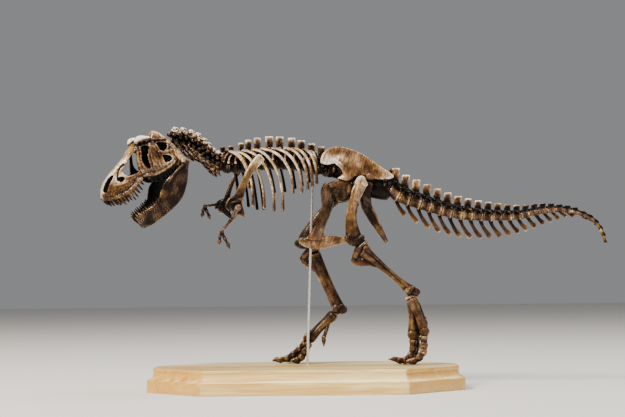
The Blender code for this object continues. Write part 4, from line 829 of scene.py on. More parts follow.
SHIN_DEPTH = 0.84  # a shin bone's half depth, as a share of its half width
for word, side, knee, ankle, radii in (("left", -1, (58.5, 137), (105, 97), (7.4, 5.4, 4.0, 3.4, 4.4, 5.8)),
                                       ("right", 1, (8, 134), (32.5, 80), (7.6, 7.0, 6.2, 5.8, 6.4, 7.0))):
    y = HIP_Y + side * 17
    start, end = np.array((knee[0], y, knee[1]), float), np.array((ankle[0], y, ankle[1]), float)
    along = unit(end - start)
    front, plateau = np.array((along[2], 0, -along[0])), 4.4 if side < 0 else 5.2
    t = np.array((0, 0.06, 0.15, 0.28, 0.4, 0.55, 0.7, 0.82, 0.9, 0.97, 1))
    wide = np.interp(t, (0, 0.15, 0.4, 0.7, 0.9, 1), radii)
    shaft = np.column_stack([start + (end - start) * t[:, None], wide, wide * SHIN_DEPTH])
    reach = 12.8 if side < 0 else 10.8
    ridge = [start + front * 5 - along * 1, start + front * reach - along * 1.6,
             start + front * (reach - 1.2) + along * 4.6,
             start + front * 6.0 + along * 12, start + front * 2 + along * 21]
    shells = [tube(shaft, across=front, sides=22, steps=4, dome=0.3),
              tube(np.column_stack([ridge, (4.6, 4.0, 3.6, 2.8, 1.8), (2.8, 2.3, 2.0, 1.6, 1.1)]),
                   across=front),
              tube([(*(start + front * 9 - along * 3), 3.6, 3.8),
                    (*(start + front * 1 - along * plateau), 4.6, 6.4),
                    (*(start - front * 6.8 - along * plateau), 3.4, 5.6)], across=along, sides=18)]
    tip = radii[-1]
    turn = np.stack([front, (0, 1, 0), along], 1)
    for out in (-0.5, 0.5):
        shells += [ball(end + np.array((0, out, 0)) * tip * 0.95 + along * 0.4, (tip, tip * 0.56, 4.3),
                        turn),
                   ball(end + (4.0, out * tip, -1.6), (5.6, tip * 0.55, 4.6)),
                   ball(end + (-1.6, out * tip, 0.2), (5.0, tip * 0.5, 4.4))]
    shells.append(tube([(*(end + front * tip * 0.5 + along * 1), 2.2, 1.4),
                        (*(end + front * tip * 0.72 - along * 7), 1.7, 0.9),
                        (*(end + front * tip * 0.5 - along * 12), 0.9, 0.6)], across=(0, 1, 0)))
    # painted shade: the far shin bone darker than the near one
    cast(f"shin_bone_{word}", shells, f"tibia_{word}", voxel=0.52, lump=0.07, fibre=along, soften=4,
         wear=0.75,
         tone_and_painted_light=lambda p, n, s=0.5 if side < 0 else 0.42, e=end, a=along: s + 0.1 * ripple(p, 15)
         - 0.16 * np.clip((3 + (p - e) @ a) / 4, 0, 1))
    # the fibula keeps to the outer face of the shin bone, whose half depth it follows
    t = np.array((-0.02, 0.08, 0.2, 0.4, 0.6, 0.8, 0.95))
    behind = np.interp(t, (0, 0.2, 0.6, 0.95), (3.4, 3.0, 2.0, 0.6))[:, None]
    strut = start + (end - start) * t[:, None] - front * behind
    half = SHIN_DEPTH * np.interp(t, (0, 0.15, 0.4, 0.7, 0.9, 1), radii)
    strut[:, 1] += side * (half + (0.9, 0.8, 0.9, 1.0, 0.8, 0.5, 0.5))
    strut = np.column_stack([strut, (2.3, 2.1, 1.6, 1.3, 1.2, 1.3, 1.7),
                             (1.8, 1.6, 1.3, 1.1, 1.0, 1.1, 1.3)])
    cast(f"fibula_bone_{word}", [tube(strut, across=front, sides=12)], f"fibula_{word}", voxel=0.4,
         lump=0.06,
         fibre=along, tone_and_painted_light=0.46)

# each foot: the top of its bones, the three toe joints, and the small bone's line down to its claw
METATARSUS = (("left", -1, (106, -1, 87.3), ((117.5, -7, 57), (106.5, -1, 54), (110.5, 6, 56)),
               ((112, 4, 85), (116, 5, 74), (118.5, 6, 68), (121.5, 6, 59))),
              ("right", 1, (27, 33.5, 71.5), ((5, 29.5, 50.5), (2, 35.5, 50), (6, 42, 51)),
               ((23, 31, 66), (20, 28.5, 57), (17.5, 27.5, 50), (17.5, 27.5, 41))))
for word, side, top, balls, splint in METATARSUS:
    top = np.array(top, float)
    for number, toe_end in enumerate(balls):
        toe_end = np.array(toe_end, float)
        start = top + (0, (toe_end[1] - top[1]) * 0.55, 0.8)
        r = 5.0 if number == 1 else 4.6
        run = unit(toe_end - start)
        t = np.array((0, 0.08, 0.25, 0.5, 0.75, 0.92, 1))
        path = start + (toe_end - start) * t[:, None] + (0, 0, 1) * (0.6 * np.sin(math.pi * t))[:, None]
        wide = r * np.array((1.2, 1.15, 0.98, 0.86, 0.88, 1.02, 1.08))
        fore = unit(np.cross(run, (0, 1, 0)))
        shells = [tube(np.column_stack([path, wide, wide * 0.86]), across=fore, sides=16, dome=0.5)]
        for out in (-1, 1):
            shells.append(ball(toe_end + (0, out * r * 0.42, 0) + run * 0.6, (r * 1.12, r * 0.6, r * 1.12)))
        shells.append(ball(start + (0, 0, 1.4), (r * 1.35, r * 0.9, 3.4)))
        # painted shade: the far foot's bones slightly darker than the near foot's
        cast(f"foot_bone_{word}_{number + 1}", shells, f"metatarsus_{word}", voxel=0.46, lump=0.08,
             fibre=run,
             tone_and_painted_light=lambda p, n, low=toe_end, r=run, s=0.52 if side < 0 else 0.46: s - 0.14 * np.clip(
                 (4 + (p - low) @ r) / 5, 0, 1) + 0.12 * ripple(p, 13))
    splint = np.array(splint, float)
    cut = [tube(np.column_stack([splint[:3], (1.8, 2.0, 1.8)]), sides=12),
           ball(splint[2] + (0, 0, 0.6), 2.5)]
    claw = [tube(np.column_stack([np.vstack([splint[2] * 0.75 + splint[3] * 0.25,
                                             (splint[2] + splint[3]) / 2, splint[3]]), (2.5, 1.9, 0.4)]),
                 sides=12)]
    cast(f"small_foot_bone_{word}", cut, f"metatarsus_{word}", voxel=0.4, lump=0.07, tone_and_painted_light=0.42)
    cast(f"small_foot_claw_{word}", claw, f"metatarsus_{word}", voxel=0.4, lump=0.05, tone_and_painted_light=0.46)

# each toe: its joints, from the foot bone to the tip of the claw
TOES = {
    "left_outer": ((117, -8, 49.3), (117, -8.5, 42.5), (116, -9, 36), (112, -9.5, 30.5), (106, -10, 27.2),
                   (98, -10.5, 25.3)),
    "left_middle": ((106.5, -1, 45.8), (106.5, -1, 39), (104, -1.5, 32.5), (98, -2, 28), (92.5, -2, 27.8),
                    (81, -2, 29.2)),
    "left_inner": ((110.5, 6.5, 48.2), (110.5, 7, 41), (108.5, 7.5, 34), (104, 8, 28.8), (98, 8.5, 27),
                   (91, 9, 25.5)),
    "right_inner": ((1.5, 29.5, 42.5), (-1.5, 29.2, 36), (-5.5, 29, 30), (-10, 29, 27), (-17, 28.8, 25.3)),
    "right_middle": ((-3, 35.5, 43), (-7.5, 35.5, 38.3), (-14, 35.5, 33), (-20.5, 35.5, 28.9),
                     (-27.5, 35.5, 27.8), (-36, 35.5, 26.3)),
    "right_outer": ((0, 43, 43.5), (-5, 44, 37), (-11, 45, 31.5), (-18, 45.5, 27.4), (-27, 46, 25.5)),
}
for word, joints in TOES.items():
    joints = np.array(joints, float)
    count = len(joints) - 1
    for k in range(count):
        a, b = joints[k], joints[k + 1]
        run, size = unit(b - a), 4.6 - 1.1 * k / count
        if k < count - 1:
            a, b = a - run * (1.6 if k == 0 else 0), b - run * 0.5
            t = np.array((0, 0.15, 0.5, 0.85, 1))
            wide = size * np.array((0.98, 0.97, 0.8, 0.86, 0.86))
            shells = [tube(np.column_stack([a + (b - a) * t[:, None], wide, wide * 0.9]), across=(0, 1, 0),
                           sides=14, dome=0.45)]
            for out in (-1, 1):
                shells.append(ball(b + (0, out * size * 0.42, 0) - run * 0.3,
                                   (size * 0.88, size * 0.5, size * 0.88), sides=12))
        else:
            hook = unit(np.cross(run, (0, 1, 0)))
            hook = hook if hook[2] > 0 else -hook
            shells = [tube([(*(a + run * 0.4), 2.4, 3.0), (*(a + (b - a) * 0.3 + hook * 1.0), 2.1, 2.8),
                            (*(a + (b - a) * 0.65 + hook * 1.0), 1.5, 2.0),
                            (*b, 0.3, 0.3)], across=(0, 1, 0), sides=14, dome=0.6)]
        cast(f"toe_{word}_{k + 1}", shells, f"toe_{word}", voxel=0.4, lump=0.08, fibre=run,
             tone_and_painted_light=0.55 if k < count - 1 else 0.64)

# ------------------------------------------------------------------ arms
# Slim shoulder blades laid over the ribs, each with a short two-fingered arm pinned below it.


def limb_bone(name, start, end, radii, node, bulge=(0, 0, 0), tone_and_painted_light=0.45, sides=14):
    """A small long bone: a smooth bar between two joints, thicker at both ends."""
    start, end = np.asarray(start, float), np.asarray(end, float)
    t = np.array((0, 0.12, 0.5, 0.88, 1))
    wide = np.interp(t, (0, 0.5, 1), radii) * np.array((1.0, 1.02, 0.86, 1.02, 1.0))
    path = start + (end - start) * t[:, None] + np.asarray(bulge) * np.sin(math.pi * t)[:, None]
    return cast(name, [tube(np.column_stack([path, wide, wide * 0.85]), sides=sides, dome=0.8)], node,
                voxel=0.4,
                lump=0.08, fibre=unit(end - start), tone_and_painted_light=tone_and_painted_light)


shoulder_middle, shoulder_turn = spot(length_at(-62))
for word, side, elbow, wrist, tips in (
        ("left", -1, (-69, -27, 172), (-79, -26, 160), ((-84, -28, 143.5), (-73, -25, 139.5))),
        ("right", 1, (-85, 20, 186.5), (-98, 18, 185.5), ((-104.5, 16, 173), (-96, 19, 171)))):
    back, out = unit(shoulder_turn[:, 0] * (1, 1, 0)), shoulder_turn[:, 1] * side
    below = shoulder_middle * (1, 1, 0)
    near = lambda run, spread, height: below + back * run + out * spread + (0, 0, height)
    elbow, wrist = np.array(elbow, float), np.array(wrist, float)
    line = [(*near(13, 26.5, 230.5), 4.2, 0.9), (*near(9, 27.8, 226.4), 4.6, 1.3),
            (*near(4, 29, 221), 4.2, 1.7), (*near(-2, 29.5, 212), 3.5, 1.8),
            (*near(-6, 28.4, 203), 3.5, 1.9), (*near(-9, 26.8, 195), 4.3, 2.1),
            (*near(-11, 25, 189), 5.2, 2.2)]
    run_aim = np.cross(out, near(13, 26.5, 230.5) - near(-11, 25, 189))
    slim = 1.0 if side < 0 else 0.66
    line, level = np.array(line) * (1, 1, 1, slim, 1), np.stack([back, out, (0, 0, 1)], 1)
    shells = [tube(line, across=run_aim, sides=18, steps=6, dome=0.5),
              ball(near(-12.5, 23.8, 185), (5.6 * slim, 2.8, 6.4 * slim), level, sides=20, rows=13),
              ball(near(-17.5, 22, 182.5), (5.4 * slim, 2.2, 5.6 * slim), level, sides=20, rows=13),
              tube([(*near(-14, 25.4, 191), 1.4), (*near(-20, 24.4, 188), 1.3),
                    (*near(-22.4, 23, 182), 1.1)], sides=10),
              tube([(*near(-17, 23.6, 188), 6.0 * slim, 2.4), (*near(-13, 24.4, 182), 6.6 * slim, 2.4),
                    (*near(-9, 25.2, 176.5), 4.4 * slim, 2.0), (*near(-5, 25.6, 171.8), 1.2, 1.0)],
                   across=np.cross(out, near(-5, 25, 171) - near(-17, 25, 188)), sides=16),
              tube([(*near(-7, 27, 190), 1.5), (*near(-13, 26.6, 186), 1.6),
                    (*near(-19, 24.6, 184.6), 1.2)], sides=10)]
    # painted light: each shoulder blade pale at its top and darker towards its foot, the far one darker
    # still as painted shade
    cast(f"shoulder_blade_bone_{word}", shells, f"shoulder_blade_{word}", voxel=0.46, lump=0.1,
         fibre=(0.4, 0, 1),
         tone_and_painted_light=lambda p, n, far_side_shade=0.1 * (side > 0): np.interp(
             p[:, 2], (178, 192, 202, 214, 230), (0.26, 0.36, 0.48, 0.66, 0.9)) - far_side_shade)
    shoulder = near(-13, 33.8, 180)
    limb_bone(f"upper_arm_{word}", shoulder, elbow, (3.8, 2.9, 3.3), f"humerus_{word}", (-0.6, 0, 0), 0.5)
    aim = unit(wrist - elbow)
    for part, shift in (("radius", -1.2), ("ulna", 1.2)):
        limb_bone(f"{part}_{word}", elbow + aim * 4.4 + (0, shift, 0), wrist + (0, shift * 0.9, 0),
                  (2.3, 1.6, 1.9), f"forearm_{word}", tone_and_painted_light=0.42)
    palm = wrist + aim * 3.4
    for number, tip in enumerate(tips):
        tip = np.array(tip, float)
        first, second = palm + (tip - palm) * 0.42 + (-0.8, 0, 0.6), palm + (tip - palm) * 0.7
        limb_bone(f"palm_bone_{word}_{number + 1}", palm, first, (2.4, 1.7, 2.1), f"hand_{word}", tone_and_painted_light=0.42)
        limb_bone(f"finger_{word}_{number + 1}", first + (second - first) * 0.12, second, (2.1, 1.6, 1.9),
                  f"hand_{word}", tone_and_painted_light=0.42)
        claw = [(*(second + (tip - second) * 0.06), 2.0),
                (*(second + (tip - second) * 0.45 + (-0.5, 0, 0.2)), 1.7), (*tip, 0.3)]
        cast(f"finger_claw_{word}_{number + 1}", [tube(claw, sides=12)], f"hand_{word}", voxel=0.35,
             lump=0.05, tone_and_painted_light=0.5)

# ------------------------------------------------------------------ skull
# A hollow casting: thin side walls with the real skull's windows, raised rims round them, knobbed
# horns over the eyes, a brain case inside and the two quadrates that carry the jaw.

JAW_JOINTS = np.array((-127.8, -28.0, 224.1))
HEAD_TURN = math.radians(27)  # towards the animal's left
SKULL_PITCH, JAW_PITCH = math.radians(28), math.radians(60)  # nose down
WALL = 2.2


def head_place(pitch):
    """The head's frame, pitched nose-down: columns forward, to the left and up, and its origin."""
    level = math.cos(pitch)
    forward = np.array((-math.cos(HEAD_TURN) * level, -math.sin(HEAD_TURN) * level, -math.sin(pitch)))
    left = np.array((math.sin(HEAD_TURN), -math.cos(HEAD_TURN), 0))
    return np.stack([forward, left, np.cross(forward, left)], 1), JAW_JOINTS


def profile(knots):
    """A smooth height or width along the head, as a function of the distance forward."""
    line = catmull(knots, 6)
    return lambda u: np.interp(u, line[:, 0], line[:, 1])


skull_floor = profile([(-2, 8), (3, 3), (16, 0), (28, 0), (35, 3), (45, 2.5), (50, -1), (58, -3),
                       (67, -2.5), (75, -1.5), (82, 3)])
skull_roof = profile([(-2, 24), (3, 28.5), (15, 34), (27, 36.5), (33, 36), (37, 33.5), (42, 30), (49, 27),
                      (57, 24), (64, 21.2),
                      (70, 18.2), (75, 14.7), (79, 11), (82, 6)])
cheek = profile([(-2, 22), (3, 24.5), (16, 24), (28, 21.5), (38, 16), (48, 13), (60, 10.5), (70, 8),
                 (77, 5.5), (82, 2.2)])
brow = profile([(-2, 12), (3, 14), (15, 14.5), (27, 13), (36, 9), (45, 6), (60, 4.5), (72, 4), (82, 1.5)])
BOX = 0.55  # how square the section is: 1 is round, 0 is a box


def skull_rings(u, wall, sides=52):
    """Sections of the skull: a squarish round from floor to roof, as wide as the cheek at the floor
    and as the brow at the roof, drawn in by the wall's thickness."""
    u = np.asarray(u, float)[:, None]
    turn = np.linspace(0, math.tau, sides, endpoint=False)[None]
    c, s = squarish(turn, BOX)
    low, high = skull_floor(u) + 1.2 * wall, skull_roof(u) - 1.4 * wall
    height = (s + 1) / 2
    width = (cheek(u) - wall) * (1 - height) + (brow(u) - wall) * height
    return np.stack([u + 0 * turn, width * c, low + (high - low) * height], -1)


def wall_out(u, w):
    """How far out the skull's wall stands at a place (forward, up)."""
    height = np.clip((w - skull_floor(u)) / (skull_roof(u) - skull_floor(u)), 0.01, 0.99)
    s = np.abs(2 * height - 1) ** (1 / BOX)
    return (cheek(u) * (1 - height) + brow(u) * height) * (1 - s ** 2) ** (BOX / 2)


def carve(shell, cutters):
    """Takes closed skins out of a closed skin, by Boolean difference."""
    thing = in_scene("carved", mesh_of("carved", [shell]))
    tools = []
    for skin in cutters:
        tool = in_scene("tool", mesh_of("tool", [skin]))
        step = thing.modifiers.new("carve", "BOOLEAN")
        step.operation, step.object = "DIFFERENCE", tool
        tools.append(tool)
    done = bpy.data.meshes.new_from_object(thing.evaluated_get(bpy.context.evaluated_depsgraph_get()))
    for used in tools + [thing]:
        bpy.data.objects.remove(used)
    done.calc_loop_triangles()
    points, faces = np.empty(len(done.vertices) * 3), np.empty(len(done.loop_triangles) * 3, int)
    done.vertices.foreach_get("co", points)
    done.loop_triangles.foreach_get("vertices", faces)
    return points.reshape(-1, 3), np.empty((0, 4), int), faces.reshape(-1, 3)


def ring_of(outline, steps=5):
    """A smooth closed line through the corners of an outline."""
    loop = np.asarray(outline, float)
    return catmull(np.vstack([loop[-2:], loop, loop[:2]]), steps)[2 * steps:-1 - steps]


# the outlines of the windows in each side wall: forward, up
WINDOWS = {
    "antorbital": ((53, 18), (47.5, 22.2), (41, 26.2), (35.5, 29.2), (33, 29), (36.2, 22), (39.4, 14),
                   (41, 10.4), (50.6, 11.8)),
    "orbit": ((26, 30.6), (28.9, 28.8), (32.3, 21.6), (33.4, 15.5), (31.3, 9.4), (28.7, 10.2), (27.6, 16.6),
              (24.2, 23),
              (20.8, 27), (22.6, 30)),
    "upper temporal": ((12.4, 27.4), (7, 26.4), (3, 23.2), (5, 19.4), (8.5, 17.8), (12.4, 18), (13.2, 22)),
    "lower temporal": ((13.8, 14.6), (9, 12.9), (6.7, 10), (7.2, 6.8), (10.5, 6.0), (14.8, 7.8)),
    "nostril": ((78, 8.5), (76.2, 12.2), (71, 16.6), (66, 18.6), (61.5, 18.8), (63.6, 16.4), (69, 12.6),
                (73.2, 9), (76, 6.4)),
    "maxillary": ((60.4, 12.6), (58.4, 14.2), (55.4, 12.9), (54.8, 10.8), (56.8, 9.6), (59.3, 9.8)),
}
cutters = [closed_skin(skull_rings(np.linspace(1.5, 54, 30), WALL))]
for word, outline in WINDOWS.items():
    loop = ring_of(outline)
    blind = {"nostril": 1.1, "maxillary": 3.0}.get(word)
    for low, high in (((blind, 30), (-30, -blind)) if blind else ((-40, 40),)):
        rims = [np.column_stack([loop[:, 0], np.full(len(loop), v), loop[:, 1]]) for v in (low, high)]
        cutters.append(closed_skin(np.stack(rims)))
shells = [carve(closed_skin(skull_rings(np.linspace(-2, 82, 64), 0)), cutters)]
shells += [tube([(-1, 0, 18, 9), (10, 0, 23, 9), (22, 0, 28, 7.5), (31, 0, 33, 4)], sides=20),
           ball((-3.5, 0, 15), 3.0), ball((0, 0, 26), (2.4, 11, 6), sides=22, rows=13),
           tube([(52, 0, 6, 5.5, 1.4), (40, 0, 7, 9, 1.4), (26, 0, 9, 12, 1.5), (12, 0, 12, 11, 2),
                 (4, 0, 14, 6, 3)], across=(0, 1, 0))]


def along_wall(side, places, radii, lift=0.0, **kind):
    """A bar laid along the skull's wall through places (forward, up), its centre lifted off it."""
    path = catmull(places, 3)
    sizes = catmull(np.atleast_2d(radii).reshape(len(places), -1), 3)
    out = side * (np.maximum(wall_out(path[:, 0], path[:, 1]), 0.8 * cheek(path[:, 0]) * (path[:, 1] < 12))
                  - 0.6 + lift)
    return tube(np.column_stack([path[:, 0], out, path[:, 1], sizes]), steps=2, **kind)


for side in (-1, 1):
    for word in ("antorbital", "orbit", "nostril", "lower temporal", "upper temporal"):
        loop = ring_of(WINDOWS[word], 3)
        loop = loop.mean(0) + (loop - loop.mean(0)) * 1.07
        out = side * (wall_out(loop[:, 0], loop[:, 1]) - 0.35)
        thick = 0.62 + 0.14 * np.sin(np.arange(len(loop)) * 0.9 + 2 * len(loop))
        loop = np.column_stack([loop[:, 0], out, loop[:, 1], thick])
        shells.append(tube(np.vstack([loop, loop[:2]]), across=(0.2, 1, 0.1), sides=8, steps=1))
    # horn over the eye, the knobbed brow behind it and the small raised crest at the back of the roof
    shells += [tube([(28.6, side * 10.4, 36.6, 2.4, 2.2), (25.6, side * 11.2, 38.4, 3.2, 3.2),
                     (21, side * 11.6, 36.9, 3.3, 3.2),
                     (16.6, side * 12.2, 34.4, 2.7, 2.6)], across=(0, 1, 0), sides=16),
               ball((24, side * 12.4, 36.4), (2.4, 2, 2.2)), ball((18.6, side * 12.8, 34.0), (2.6, 2, 2.0)),
               tube([(15, side * 13, 33.2, 1.8, 1.5), (9, side * 13, 30.6, 1.5, 1.3),
                     (2, side * 12.6, 27.4, 1.6, 1.4)], across=(0, 1, 0)),
               tube([(6.2, side * 4.4, 31, 4.8, 2.2), (5.8, side * 3.4, 34.6, 3.9, 2.0),
                     (5.5, side * 2.0, 37, 2.6, 1.7),
                     (5.3, side * 1.2, 38.5, 1.1, 1.0)], across=(1, 0, 0), sides=16, power=0.8),
               tube([(10.6, side * 4.8, 32.6, 1.4), (8.4, side * 3.2, 35.8, 0.9),
                     (6, side * 1.8, 38.0, 0.8)], sides=10),
               tube([(2.8, side * 2.8, 35.6, 1.1), (1.4, side * 4.8, 32.4, 1.3),
                     (1.2, side * 7, 28.8, 1.6)], sides=12),
               # jugal's thick lower edge, postorbital's broad bar, squamosal's hook and lacrimal's lit edge
               along_wall(side, [(38, 5.2), (32, 3.4), (26, 1.9), (18, 1.6), (9, 2.8), (3, 5)],
                          (1.3, 1.7, 1.8, 1.6, 1.6, 1.8), 0.3, across=(0, 1, 0)),
               along_wall(side, [(17, 30.4), (18.4, 24), (20.6, 16.5), (22.6, 9)],
                          [(3.6, 0.9), (3.0, 1.0), (3.0, 1.1), (4.6, 1.0)], 0.5,
                          across=(1, 0, 0), power=0.8),
               along_wall(side, [(20.6, 25), (23.6, 18), (25.6, 11)], (0.7, 0.8, 0.8), 0.9,
                          across=(0, 1, 0), sides=10),
               along_wall(side, [(14.6, 19), (10, 16.2), (5, 15.2), (1, 14)], (1.2, 1.2, 1.3, 1.6), 0.5,
                          across=(0, 1, 0)),
               along_wall(side, [(31, 30.6), (34, 23), (36.6, 14), (36.2, 8)],
                          [(1.6, 0.9), (1.5, 0.8), (1.8, 0.9), (2.6, 0.9)], 0.6,
                          across=(1, 0, 0)),
               along_wall(side, [(30, 27), (33.2, 20.4), (34.4, 12)], (0.6, 0.7, 0.8), 0.9,
                          across=(0, 1, 0), sides=10),
               # quadrate, down to the two-knobbed jaw joint, and the pterygoid's plate inside the cheek
               tube([(0.5, side * 14, 24, 2.6, 2.2), (0, side * 20, 13, 2.8, 2.2),
                     (-0.8, side * 23.6, 4, 3.0, 2.6)], across=(1, 0, 0)),
               ball((-1.5, side * 22.2, 1.4), (3.2, 2.5, 3.0)),
               ball((-1.3, side * 25.6, 1.6), (3.0, 2.3, 2.8)),
               tube([(0, side * 17, 6, 3.4, 1.0), (9, side * 13, 3.4, 4.4, 1.0),
                     (18, side * 10.5, 0.6, 5.0, 1.1), (26, side * 9, -2.4, 4.4, 1.2),
                     (32, side * 8.4, 1.6, 3.4, 1.2)], across=(0, 0, 1), power=0.8),
               tube([(0.5, side * 20, 1, 2.6, 1.0), (6, side * 18, -2.2, 4.0, 1.0),
                     (14, side * 14.5, -3.6, 4.6, 1.0), (22, side * 11, -4.4, 4.4, 1.1)],
                    across=(0, 0, 1), power=0.8),
               # ridge between the smooth hollow ahead of the eye window and the rough tooth-bearing edge
               along_wall(side, [(67, 10), (60, 7.6), (53, 7.2), (46, 7.6), (40, 8.2)],
                          (0.5, 0.7, 0.8, 0.8, 0.8), 0.2, across=(0, 1, 0), sides=10)]
    u = np.linspace(41, 80.5, 12)
    shells.append(tube(np.column_stack([u, side * (cheek(u) - 1.9), skull_floor(u) + 0.7,
                                        2.0 + 0.3 * (np.arange(12) % 2), np.full(12, 1.9)]),
                       across=(0, 0, 1), sides=14, steps=3))
shells.append(tube([(5.6, -2.4, 38.2, 1.0), (5.6, 2.4, 38.2, 1.0)], across=(0, 0, 1), sides=10))
GROOVE = catmull([(49, 23.2), (53, 22), (56.4, 19.6), (59.4, 16), (61, 12.5)], 6)


def from_groove(u, w):
    """How far a place is from the thin groove ahead of the window before the eye."""
    return np.sqrt(((np.stack([u, w], 1)[:, None] - GROOVE) ** 2).sum(2).min(1))


def skull_surface(points, normals):
    """Roughens the tooth-bearing edge and the nose, streaks the cheek and sinks the smooth hollow."""
    u, v, w = points.T
    outer = np.clip((np.abs(v) - wall_out(u, w) + 1.6) / 0.8, 0, 1)
    rough = outer * np.clip((u - 40) / 6, 0, 1) * np.clip((9 - w) / 3, 0, 1)
    nasal = np.clip((w - skull_roof(u) + 3.5) / 2, 0, 1) * np.clip((u - 36) / 4, 0, 1)
    hollow = outer * np.exp(-(((u - 58) / 6.5) ** 2 + ((w - 12.5) / 3.6) ** 2))
    cheeky = outer * np.clip((38 - u) / 5, 0, 1) * (w < skull_roof(u) - 2)
    lift = (0.2 * (rough + 0.25 * nasal) * ripple(points, 2.2)
            + 0.2 * cheeky * ripple(points * (1, 1, 0.35), 2.6))
    groove = 0.8 * outer * np.exp(-(from_groove(u, w) / 0.8) ** 2)
    return points + normals * (lift - 0.8 * hollow - groove)[:, None]


def skull_tone(points, normals):
    """Pale on the smooth hollow and rear of the cheek, ochre between; painted highlights on the nose, roof
    and horns, and painted shade under the horns, on the inner faces and inside.
    """
    u, v, w = points.T
    about = lambda a, b, wide, tall: np.exp(-((u - a) / wide) ** 2 - ((w - b) / tall) ** 2)
    wall, roof, aside = wall_out(u, w), skull_roof(u), np.abs(v)
    # painted shade on the skull's inner faces and inside its hollow
    painted_shade_inside = np.clip((wall - aside - 1.0) / 1.2, 0, 1) * (w < roof - 2.2) * (w > skull_floor(u) - 0.5)
    painted_shade_inside = np.maximum(painted_shade_inside, (aside < wall - 3) * (w < roof - 4))
    painted_shade_inside = np.maximum(painted_shade_inside, np.clip(-2 * normals[:, 2], 0, 1) * (w > 12) * (aside < wall - 0.8))
    painted_shade_inside = np.maximum(painted_shade_inside, 1.3 * np.clip(-0.4 - w, 0, 1) * (u < 40) * (aside < 20))
    painted_shade_inward = np.clip(-normals[:, 1] * np.sign(v) * 2, 0, 1) * (w < roof - 1)
    # pale: the skull's own lighter patches, with painted highlights on the top of the nose, the roof and
    # the horns and painted shade under the horns
    pale = (0.5 + 0.26 * np.clip((w - roof + 7) / 5, 0, 1) * np.clip((u - 32) / 6, 0, 1)
            + 0.54 * about(58, 12.5, 8.5, 5) + 0.3 * about(8, 6, 13, 8)
            + 0.14 * about(35.5, 17, 2.6, 13) - 0.2 * about(24, 31.6, 9, 2.6)
            + 0.26 * np.clip((w - roof - 0.2) / 1.2, 0, 1) * (u > 13)
            - 0.12 * about(20, 20, 5, 9) + 0.2 * (w > roof + 1) + 0.1 * about(14, 24, 3, 6)
            - 0.1 * np.clip((u - 68) / 10, 0, 1) * np.clip((12 - w) / 6, 0, 1)
            - 0.35 * np.exp(-(from_groove(u, w) / 0.9) ** 2))
    return pale - 0.5 * np.maximum(painted_shade_inside, painted_shade_inward)


skull_place = head_place(SKULL_PITCH)
cast("skull_casting", shells, "skull", voxel=0.54, lump=0.1, wear=0.45, fibre=(1, 0, 0.4),
     place=skull_place, shape=skull_surface, tone_and_painted_light=skull_tone)

# ------------------------------------------------------------------ jaw and teeth
# The lower jaw is two deep side plates that meet at the chin. Both jaws hold long backward-curving teeth,
# modelled one by one and darker towards the root.

jaw_out = profile([(-4, 23.6), (0, 23.5), (10, 23), (27, 21), (42, 17), (50, 14), (57, 10.5), (64, 6.5),
                   (69, 3.2), (72, 0.8)])
# along each side plate: forward, upper edge, lower edge, half thickness
JAW_PLATE = ((-3.6, -2.4, -4.6, 1.6), (-1, -1.8, -6.6, 2.0), (4, -1.4, -8.8, 1.7), (9, 1.2, -11.4, 1.5),
             (15, 3.4, -14.2, 1.4), (22, 4.9, -16.4, 1.4),
             (28, 5.4, -17.6, 1.4), (35, 3.7, -17.4, 1.5), (42, 1.8, -16, 1.7), (50, 2.5, -13.6, 1.9),
             (57, 5.0, -11.2, 2.0),
             (63, 7.4, -9.2, 2.1), (67.2, 7.0, -6.8, 2.0), (69.4, 3.6, -3.0, 1.4))
u, high, low, half = np.array(JAW_PLATE).T
jaw_shells = [tube([(64.5, -5.4, -2.5, 3.0), (68.0, 0, -2.7, 3.9), (64.5, 5.4, -2.5, 3.0)],
                   across=(0, 0, 1), sides=18)]
for side in (-1, 1):
    out = side * jaw_out(u)
    jaw_shells += [strip(np.column_stack([u, out * 0.985, high]), np.column_stack([u, out, low]),
                         half + 0.8, (0, side, 0.06), steps=5,
                         power=0.85, sides=24),
                   tube(np.column_stack([u[8:13], out[8:13], high[8:13] - 1.3, (1.5, 1.9, 2.1, 2.1, 1.9)]),
                        across=(0, 1, 0)),
                   tube(np.column_stack([u[2:12], out[2:12] * 1.01, low[2:12] + 1.4, np.full(10, 1.5)]),
                        across=(0, 1, 0)),
                   tube([(2, side * 24.6, -1.4, 1.4), (12, side * 24.2, 1.2, 1.4),
                         (24, side * 22.8, 1.8, 1.2), (36, side * 20, -2.2, 0.8)], across=(0, 1, 0),
                        sides=10),
                   ball((-1.4, side * 23.4, -2.4), (3.0, 3.6, 2.4)),
                   ball((-3.4, side * 23.4, -4.6), (1.8, 2.2, 2.0))]
jaw_place = head_place(JAW_PITCH)
# painted shade: each side plate darker on its inner face
cast("lower_jaw_casting", jaw_shells, "lower_jaw", voxel=0.49, lump=0.16, wear=0.5, fibre=(1, 0, -0.1),
     soften=3,
     place=jaw_place,
     shape=lambda p, n: p + n * (0.22 * np.clip((p[:, 0] - 38) / 8, 0, 1) * ripple(p, 2.0))[:, None],
     tone_and_painted_light=lambda p, n: 0.33 + 0.13 * ripple(p, 13) - 0.3 * np.clip(-n[:, 1] * np.sign(p[:, 1]) * 2, 0, 1)
     + 0.06 * np.clip((p[:, 2] + 2) / 8, 0, 1))

# where the tips of the teeth reach: forward, up
upper_tips = np.array([(41.9, -4.1), (45, -7.4), (47.5, -9.9), (51.2, -12.3), (55.2, -12.9), (60.5, -12.7),
                       (65.1, -12.6), (70, -11.4), (73.9, -9.2),
                       (77.9, -7.2)])
lower_tips = np.array([(40, 2.9), (44, 4.2), (47.7, 5.4), (52.7, 7.6), (58.2, 10.4), (63.6, 12.2),
                       (67, 11.2)])


def tooth(root, tip, bows, wide, deep):
    """A tooth: a tube from root to tip through points at shares of the way, each bowed forwards."""
    path = np.vstack([root, *(root + (tip - root) * share + (bow, 0, 0) for share, bow in bows), tip])
    return tube(np.column_stack([path, wide, deep]), across=(1, 0, 0), sides=10, steps=3)


